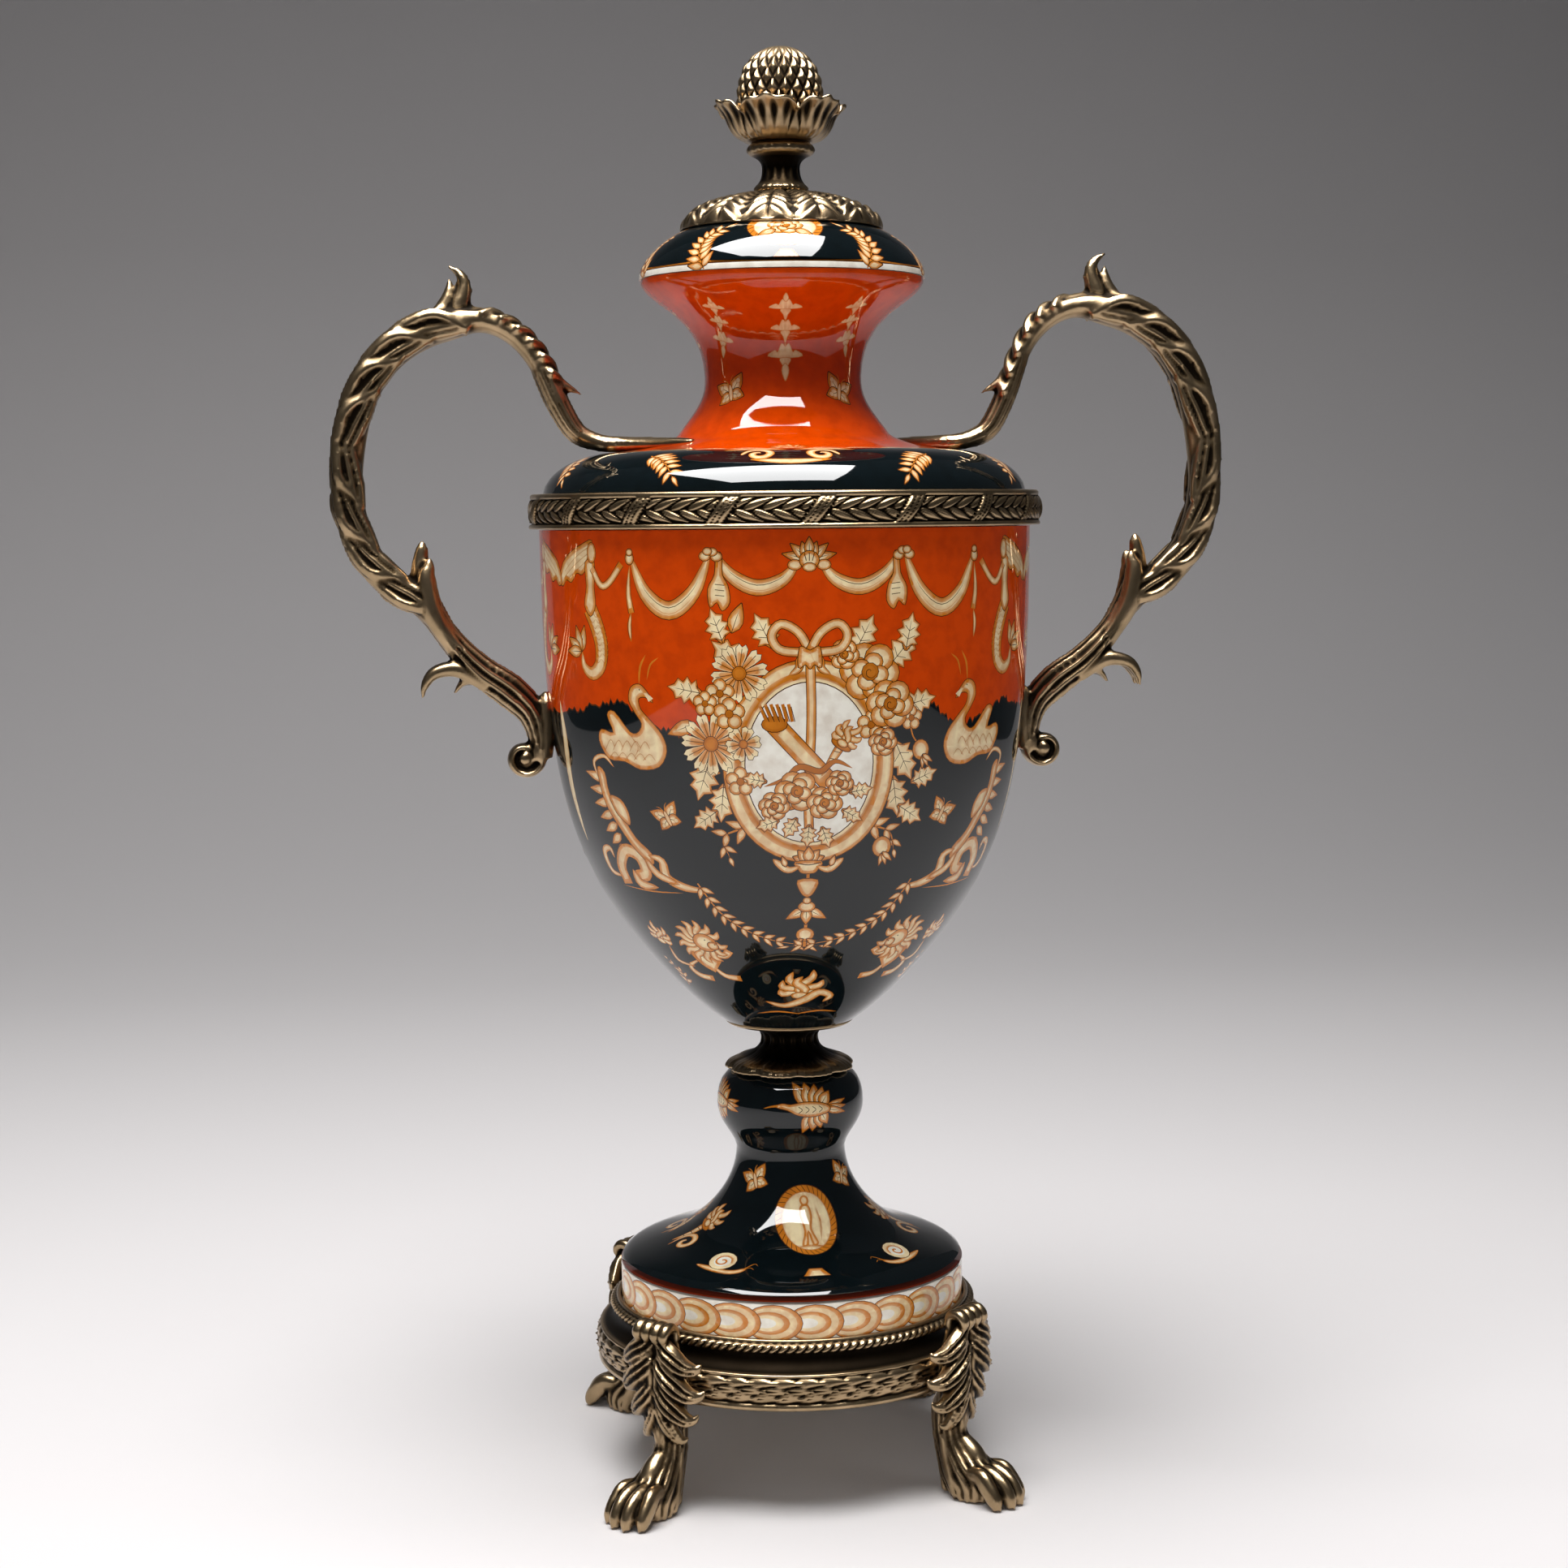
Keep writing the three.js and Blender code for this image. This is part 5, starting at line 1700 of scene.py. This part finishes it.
def leaf_beside(bm, start, end, side):
    """A leaf that lies flat on one face of the handle, with its tip past the outer edge."""
    places = ((0, -2.5, 1.4, 3.0), (0.35, -0.6, 2.4, 5.2), (0.7, 2.6, 2.0, 4.2), (1, 6.3, 0.5, 0.6))
    stations = []
    for t, proud, thick, half in places:
        stations.append((*on_handle(start + (end - start) * t, proud, side * (5.4 - 0.8 * t)), thick, half))
    middle = (start + end) / 2
    outer = on_handle(middle, 1) - on_handle(middle)
    forward = 1 if end > start else -1
    limb(bm, stations, steps=7, sides=30, ribs=3, depth=0.45, across=tuple(-side * forward * outer))


# %% The body, the beads and the leaves of a handle
BEAD = ((-6, -6, 1.5), (-2, -2.2, 3.5), (2, 2.2, 3.5), (6, 6, 1.5))
BEADS = 6
TIERS = 4
strap_end, beads_end, flame_at = way_of(97, 462), way_of(126, 493), way_of(136, 493)
arch_end, lower_start, lower_end = way_of(180, 447), way_of(151, 372), way_of(181.5, 438)


def handle_body(bm):
    """A fluted strap, a ribbed arch and a fluted lower arm, which overlap where they meet."""
    cut = next(k for k, station in enumerate(HANDLE_LINE) if station[0] > 109)
    limb(bm, HANDLE_LINE[:cut], steps=8, sides=72, lobes=10, depth=0.13)
    limb(bm, HANDLE_LINE[cut - 2 : 22], steps=7, sides=20, ribs=5, depth=0.12)
    limb(bm, HANDLE_LINE[20:], steps=9, sides=72, lobes=10, depth=0.15)


def handle_beads(bm):
    for k in range(BEADS):
        way = strap_end + (beads_end - strap_end) * (k + 0.5) / BEADS
        bead = []
        for ahead, aside, thick in BEAD:
            bead.append((*on_handle(way + ahead, 3.2 - 0.12 * abs(aside), aside), thick, 2.1))
        limb(bm, bead, steps=4, sides=12)


def handle_leaves(bm):
    """Tiers of leaves that point down the arch, then tiers that point down the lower arm."""
    for k in range(TIERS):
        root = flame_at + (arch_end - flame_at) * k / TIERS
        for side in (-1, 1):
            laid_on_handle(bm, root - 4, root + 32, aside=side * 4.6, proud=6.6, width=5.0, thick=2.6)
            leaf_beside(bm, root - 2, root + 32, side)
        laid_on_handle(bm, root + 6, root + 40, aside=0, proud=6.7, width=4.6, thick=2.2)
    for k in range(TIERS):
        root = lower_start + (lower_end - lower_start) * k / TIERS
        for side in (-1, 1):
            laid_on_handle(bm, root + 2, root - 33, aside=side * 4.4, proud=5.8, width=4.8, thick=2.6)
            leaf_beside(bm, root + 4, root - 32, side)


# %% The flame, the bundle and the scroll of a handle
OUTER_TIPS = (
    ((180, 0, 415, 3, 5), (185, 0, 426, 2.6, 4.2), (188.4, 0, 433, 1.8, 2.6), (190.2, 0, 439, 0.4, 0.6)),
    ((177, 0, 397, 3, 5.4), (184.5, 0, 407, 3, 4.6), (189, 0, 415, 2, 2.8), (191.2, 0, 422, 0.4, 0.6)),
    ((168, 0, 385, 3, 5.4), (177.5, 0, 391, 3, 4.6), (183, 0, 398, 2, 2.8), (185.6, 0, 404.5, 0.4, 0.6)),
)
TALL_TONGUE = (
    (139, 0, 493, 5, 5), (135.4, 0, 501, 4, 4.2), (133.6, 0, 507.5, 2.8, 3), (135.4, 0, 512.5, 1.8, 2),
    (140.4, 0, 516, 0.4, 0.5),
)
LOW_TONGUE = (
    (146, 0, 493, 4, 5), (141, 0, 501, 3.2, 3.6), (139.6, 0, 507, 1.8, 2), (139.8, 0, 511, 0.4, 0.5)
)
THORN = ((101, 0, 472, 2.5, 3.5), (93.5, 0, 467, 2.2, 2.8), (85.4, 0, 462.6, 0.4, 0.5))
BUNDLE_LEAF = ((141, 0, 356, 3, 5), (148.5, 0, 366, 2.6, 4.6), (156, 0, 373, 2, 3.4), (161, 0, 381, 0.5, 1))
LIP = ((128, 0, 343, 2.4, 6), (137, 0, 342.5, 1.6, 5), (141.5, 0, 337.5, 0.4, 1.5))
BACK_PAD = (
    (104.6, 0, 310, 4.2, 6), (103.4, 0, 322, 4.6, 6.6), (102.8, 0, 333, 4.2, 6.2), (103, 0, 338, 1, 3)
)
SCROLL_X, SCROLL_Z = 112.2, 309.8


def handle_flame(bm):
    for points in OUTER_TIPS:
        limb(bm, points, steps=6, sides=16, ribs=3, depth=0.25)
    limb(bm, TALL_TONGUE, steps=6, sides=16, ribs=3, depth=0.2)
    limb(bm, LOW_TONGUE, steps=6, sides=14, ribs=3, depth=0.2)
    limb(bm, THORN, steps=6, sides=12)


def handle_bundle(bm):
    """Three ribbed stems that stand up inside the arch, and three reeds that curl over below them."""
    for y, top, x in ((-4.2, 395, 151), (4.2, 395, 151), (0, 402, 153.8)):
        stem = (
            (140, y * 0.6, 356, 4, 4), (149.5, y, 372, 4.6, 4.2), (x + 1, y, 386, 3.8, 3.6),
            (x, y, top - 4, 2.6, 2.4), (x - 0.6, y, top, 0.8, 0.9),
        )
        limb(bm, stem, steps=6, sides=24, ribs=5, depth=0.25)
    limb(bm, BUNDLE_LEAF, steps=6, sides=16, ribs=3, depth=0.25)
    for y in (-4.6, 0, 4.6):
        reed = (
            (127, y, 341, 3.4, 2.4), (139, y, 347.8, 3.4, 2.6), (149, y * 1.1, 346.8, 2.7, 2.4),
            (153.6, y, 341.5, 1.8, 2), (154.6, y * 0.9, 336.2, 0.5, 1),
        )
        limb(bm, reed, steps=6, sides=12)
    limb(bm, LIP, steps=5, sides=12, ribs=3, depth=0.2)


def handle_scroll(bm):
    """The scroll at the foot, the pin through its middle, and the pad behind it that meets the bowl."""
    turns = np.linspace(0, 1.45 * TAU, 30)
    radius = 7.6 * (1 - 0.72 * turns / turns[-1])
    scroll = []
    for a, r in zip(turns, radius):
        wound = a / turns[-1]
        place = (SCROLL_X - r * math.cos(a), 0, SCROLL_Z - r * math.sin(a))
        scroll.append((*place, 1.9 - 0.5 * wound, 6.2 - 1.6 * wound))
    limb(bm, scroll, steps=2, sides=14)
    pin = [(SCROLL_X, y, SCROLL_Z, 2.4, 2.4) for y in (-6.4, -2, 2, 6.4)]
    limb(bm, pin, steps=2, sides=10, across=(0, 0, 1))
    limb(bm, BACK_PAD, steps=4, sides=14)


# %% Melt, bend and keep the handles
HANDLE_VOXEL = 0.95
RIGHT_RISE = 6
handle_wax = bmesh.new()
for add_part in (handle_body, handle_beads, handle_leaves, handle_flame, handle_bundle, handle_scroll):
    add_part(handle_wax)
handle_mesh = melted(handle_wax, "handle", HANDLE_VOXEL, smoothing=2)
store_hollow(handle_mesh, fine=5, broad=26)
left_mesh = turned_copy(handle_mesh, "handle_casting_left", 180)
xyz = coordinates(handle_mesh)
outward = np.clip((xyz[:, 0] - 90) / 18, 0, 1)
upward = np.clip((xyz[:, 2] - 425) / 55, 0, 1)
xyz[:, 2] += RIGHT_RISE * outward**2 * (3 - 2 * outward) * upward**2 * (3 - 2 * upward)
set_coordinates(handle_mesh, xyz)
keep(handle_mesh, "handle_casting_right", bronze, ["handle_right"])
keep(left_mesh, "handle_casting_left", bronze, ["handle_left"])

# %% [markdown]
# ## Legs
# Four castings carry the drum. Each is a lion's paw on a slim ankle that opens into a fan of leaves, with
# a top that rolls over outwards. One leg is built pointing along +X and set at the four corners.


# %% The shaft and the leaves of a leg
SHAFT = (
    (96, 0, 1.5, 10.5, 8.6), (95.5, 0, 7, 11.5, 9.6), (90.5, 0, 13, 10.5, 8.8), (86, 0, 20, 8.2, 7),
    (83.3, 0, 28, 7.6, 6.2), (83.6, 0, 36, 8, 6.8), (85.5, 0, 43, 6, 9.4), (87.5, 0, 50, 4.4, 12.5),
    (88, 0, 58, 4.2, 13), (88, 0, 66, 4, 10.5), (88.5, 0, 72, 3.6, 8.4), (88.8, 0, 77, 2.4, 7.4),
)
LEAF_FAN = (
    (
        (91, 1, 75, 2.2, 3.4), (93, 8, 69.5, 3, 4.6), (91.4, 14, 64.5, 2.6, 4),
        (88.6, 18.4, 63.6, 1.6, 2.6),
        (87.6, 20.4, 66, 0.4, 0.6),
    ),
    (
        (92.5, 1, 66, 2.2, 3.6), (93.2, 8, 59, 3.2, 5), (90.8, 14.6, 53, 2.8, 4.2),
        (88, 19.4, 52.4, 1.6, 2.6),
        (87, 21.6, 55, 0.4, 0.6),
    ),
    (
        (92.4, 1, 55, 2.2, 3.4), (92.2, 6.6, 47.4, 3, 4.6), (89.6, 12, 42, 2.6, 3.8),
        (87.4, 16, 41.6, 1.4, 2.2),
        (86.6, 17.6, 44, 0.4, 0.6),
    ),
    (
        (91.6, 1, 45, 2, 2.8), (90.4, 4.4, 38, 2.4, 3.4), (88.4, 7.8, 32.6, 2, 2.8),
        (86.8, 10.4, 31.6, 1.1, 1.6),
        (86.2, 11.6, 33.4, 0.4, 0.5),
    ),
)


def leg_top(bm):
    """The shaft, its fan of leaves, the ribs down its front and the lobes that roll over at the top."""
    limb(bm, SHAFT, steps=6, sides=72, lobes=18, depth=0.06)
    for side in (-1, 1):
        for stations in LEAF_FAN:
            one = [(x, side * y, z, thick, half) for x, y, z, thick, half in stations]
            limb(bm, one, steps=7, sides=30, ribs=3, depth=0.5, across=(0, 0, side))
    for y in (-4.6, -1.6, 1.6, 4.6):
        rib = (
            (92.4, y * 1.5, 70, 1.5, 1.5), (93.6, y, 60, 1.6, 1.5), (92.8, y * 0.75, 47, 1.4, 1.3),
            (91, y * 0.5, 36, 1.1, 1), (90.4, y * 0.4, 27, 0.5, 0.5),
        )
        limb(bm, rib, steps=5, sides=10)
    for y in (-6.6, -2.2, 2.2, 6.6):
        roll = (
            (87.5, y, 74, 2, 2.2), (89, y, 78.6, 2.4, 2.4), (93.2, y * 1.04, 79.4, 2.4, 2.4),
            (95.8, y * 1.06, 76.6, 2.1, 2.3), (95.4, y * 1.06, 73.6, 0.9, 1.4),
        )
        limb(bm, roll, steps=5, sides=12)


# %% The paw of a leg
KNUCKLE = ((91, 0, 24, 3, 3.4), (95.6, 0, 19.4, 4, 4.4), (99.6, 0, 14.5, 3.4, 4), (102, 0, 11, 2, 3))


def leg_paw(bm):
    """Four toes with claws, a knuckle over them, a tendon on each side and fur behind."""
    for y, reach in ((-8.2, 113.6), (-2.8, 116.8), (2.8, 116.8), (8.2, 113.6)):
        toe = (
            (97, y * 0.7, 12, 3, 2.6), (104, y * 0.92, 12.6, 3.7, 2.9),
            (reach - 5.6, y * 1.02, 9.4, 3.9, 3),
            (reach - 1.6, y * 1.06, 4.6, 3.3, 2.7), (reach - 0.8, y * 1.06, 1.6, 1.6, 1.7),
        )
        limb(bm, toe, steps=5, sides=14)
        claw = (
            (reach - 2, y * 1.06, 5.4, 1.4, 1.1), (reach + 0.6, y * 1.07, 3.4, 1, 0.8),
            (reach + 1.2, y * 1.07, 1.2, 0.3, 0.3),
        )
        limb(bm, claw, steps=4, sides=8)
    limb(bm, KNUCKLE, steps=5, sides=16)
    for y in (-6.4, 6.4):
        tendon = (
            (84, y * 0.9, 26, 2, 1.2), (86, y, 18, 2.4, 1.6), (90, y * 1.3, 9, 2.4, 1.4),
            (92, y * 1.35, 3, 1.4, 1),
        )
        limb(bm, tendon, steps=5, sides=10)
    for k in range(5):
        fur = (
            (78.5 + k, 0, 26 - 4.6 * k, 2, 5.4), (79.2 + k, 0, 21.6 - 4.6 * k, 1.8, 5),
            (78 + 1.2 * k, 0, 18.4 - 4.2 * k, 0.5, 3.4),
        )
        limb(bm, fur, steps=4, sides=20, ribs=5, depth=0.3)


def cut_flat(bm, height):
    """Cuts everything below a height away and closes the cuts."""
    everything = bm.verts[:] + bm.edges[:] + bm.faces[:]
    place, upward = (0, 0, height), (0, 0, 1)
    bmesh.ops.bisect_plane(bm, geom=everything, plane_co=place, plane_no=upward, clear_inner=True)
    bmesh.ops.holes_fill(bm, edges=[e for e in bm.edges if e.is_boundary])


# %% Melt one leg, stretch its sole down to the floor and set it at the four corners
LEG_VOXEL = 0.78
SOLE_PART = 15
leg_wax = bmesh.new()
leg_top(leg_wax)
leg_paw(leg_wax)
cut_flat(leg_wax, 0.05)
leg_mesh = melted(leg_wax, "leg", LEG_VOXEL, smoothing=1)
xyz = coordinates(leg_mesh)
sole_gap = xyz[:, 2].min()
xyz[:, 2] -= sole_gap * np.clip(1 - xyz[:, 2] / SOLE_PART, 0, 1 / (1 - sole_gap / SOLE_PART))
xyz[:, 2] = np.maximum(xyz[:, 2], 0)
set_coordinates(leg_mesh, xyz)
store_hollow(leg_mesh, fine=5, broad=24)
for corner, degrees in (("front_left", -135), ("front_right", -45), ("back_left", 135), ("back_right", 45)):
    casting = turned_copy(leg_mesh, "paw_leg_" + corner, degrees)
    keep(casting, "paw_leg_" + corner, bronze, ["leg_" + corner])

# %% [markdown]
# ## The room
# The urn stands on a pale seamless sweep. A large lamp overhead lights it softly. A softbox in nearly the
# same place shows only in reflections, as a bright patch on every upward slope of the glaze. Three weak
# lamps at the front and the sides fill the shadows and stay out of the reflections.


# %% Sweep
SWEEP_WIDTH = 3.0


def sweep():
    """A floor that curves up into a wall behind the urn, in metres."""
    bm = bmesh.new()
    run = joined(
        [[-1.0, 0], [1.2, 0]],
        bend([1.2, 0], [2.2, 0], [2.6, 0.5], [2.6, 1.4], 16),
        [[2.6, 4.5]],
    )
    verts = [bm.verts.new((-SWEEP_WIDTH / 2, y, z)) for y, z in run]
    edges = [bm.edges.new(pair) for pair in zip(verts, verts[1:])]
    made = bmesh.ops.extrude_edge_only(bm, edges=edges)["geom"]
    far_side = [v for v in made if isinstance(v, bmesh.types.BMVert)]
    bmesh.ops.translate(bm, verts=far_side, vec=(SWEEP_WIDTH, 0, 0))
    mesh = mesh_of(bm, "sweep")
    mesh.polygons.foreach_set("use_smooth", [True] * len(mesh.polygons))
    piece = bpy.data.objects.new("sweep", mesh)
    bpy.context.scene.collection.objects.link(piece)
    return piece


def sweep_material():
    """Pale on the floor, with painted shade that darkens it up the wall."""
    material, nodes, links, shader = new_material("pale_sweep")
    where = nodes.new("ShaderNodeTexCoord")
    split = nodes.new("ShaderNodeSeparateXYZ")
    links.new(where.outputs["Object"], split.inputs["Vector"])
    height = nodes.new("ShaderNodeMapRange")
    height.inputs["From Max"].default_value = 2.2
    links.new(split.outputs["Z"], height.inputs["Value"])
    # Painted shade: the sweep grows darker with height, where the lamp's light falls off.
    painted_wall_shade = [(0.0, (0.82, 0.79, 0.79)), (0.35, (0.5, 0.48, 0.48)), (1.0, (0.2, 0.195, 0.2))]
    shade = ramp(nodes, links, height.outputs["Result"], painted_wall_shade)
    links.new(shade, shader.inputs["Base Color"])
    shader.inputs["Roughness"].default_value = 0.9
    return material


sweep().data.materials.append(sweep_material())


# %% Lamps
def lamp(name, place, aim, width, depth, power, glossy=True, diffuse=True):
    light = bpy.data.lights.new(name, "AREA")
    light.shape = "RECTANGLE"
    light.size = width
    light.size_y = depth
    light.energy = power
    holder = bpy.data.objects.new(name, light)
    holder.location = place
    holder.rotation_euler = (Vector(aim) - Vector(place)).to_track_quat("-Z", "Y").to_euler()
    holder.visible_glossy = glossy
    holder.visible_diffuse = diffuse
    bpy.context.scene.collection.objects.link(holder)


lamp("overhead", (-0.17, -0.3, 1.72), aim=(-0.1, -0.12, 0.3), width=1.15, depth=1.1, power=38, glossy=False)
lamp("softbox", (-0.17, -0.36, 1.72), aim=(-0.17, -0.3, 0), width=1.15, depth=1.3, power=90, diffuse=False)
lamp("front_fill", (-0.9, -1.9, 0.8), aim=(0, 0, 0.35), width=1.2, depth=1.2, power=6, glossy=False)
lamp("left_panel", (-1.6, -1.0, 0.8), aim=(0, 0, 0.3), width=0.9, depth=1.2, power=2, glossy=False)
lamp("right_panel", (1.6, -1.1, 0.8), aim=(0, 0, 0.3), width=0.9, depth=1.2, power=2.5, glossy=False)
world = bpy.data.worlds.new("room")
world.use_nodes = True
background = world.node_tree.nodes["Background"]
background.inputs["Color"].default_value = (0.75, 0.77, 0.82, 1)
background.inputs["Strength"].default_value = 0.06
bpy.context.scene.view_settings.view_transform = "Standard"
bpy.context.scene.world = world

# %% [markdown]
# ## The camera
# A short telephoto stands a little above the middle of the urn, 1.14 m away, and looks slightly down. The
# urn is turned a few degrees from it, so the camera stands a little to the left of the painted front.

# %% Camera
TURN = math.radians(7.27)
PITCH = math.radians(5.83)
ROLL = math.radians(0.57)
DISTANCE = 1.1404
EYE_HEIGHT = 0.4125
camera_data = bpy.data.cameras.new("camera")
camera_data.lens = 61.06
camera_data.sensor_width = 36
camera_data.shift_x = -0.0019
camera = bpy.data.objects.new("camera", camera_data)
camera.location = (-DISTANCE * math.sin(TURN), -DISTANCE * math.cos(TURN), EYE_HEIGHT)
look = Vector((math.sin(TURN) * math.cos(PITCH), math.cos(TURN) * math.cos(PITCH), -math.sin(PITCH)))
turn_view = look.to_track_quat("-Z", "Y").to_matrix()
camera.rotation_euler = (turn_view @ Matrix.Rotation(-ROLL, 3, "Z")).to_euler()
bpy.context.scene.collection.objects.link(camera)
bpy.context.scene.camera = camera
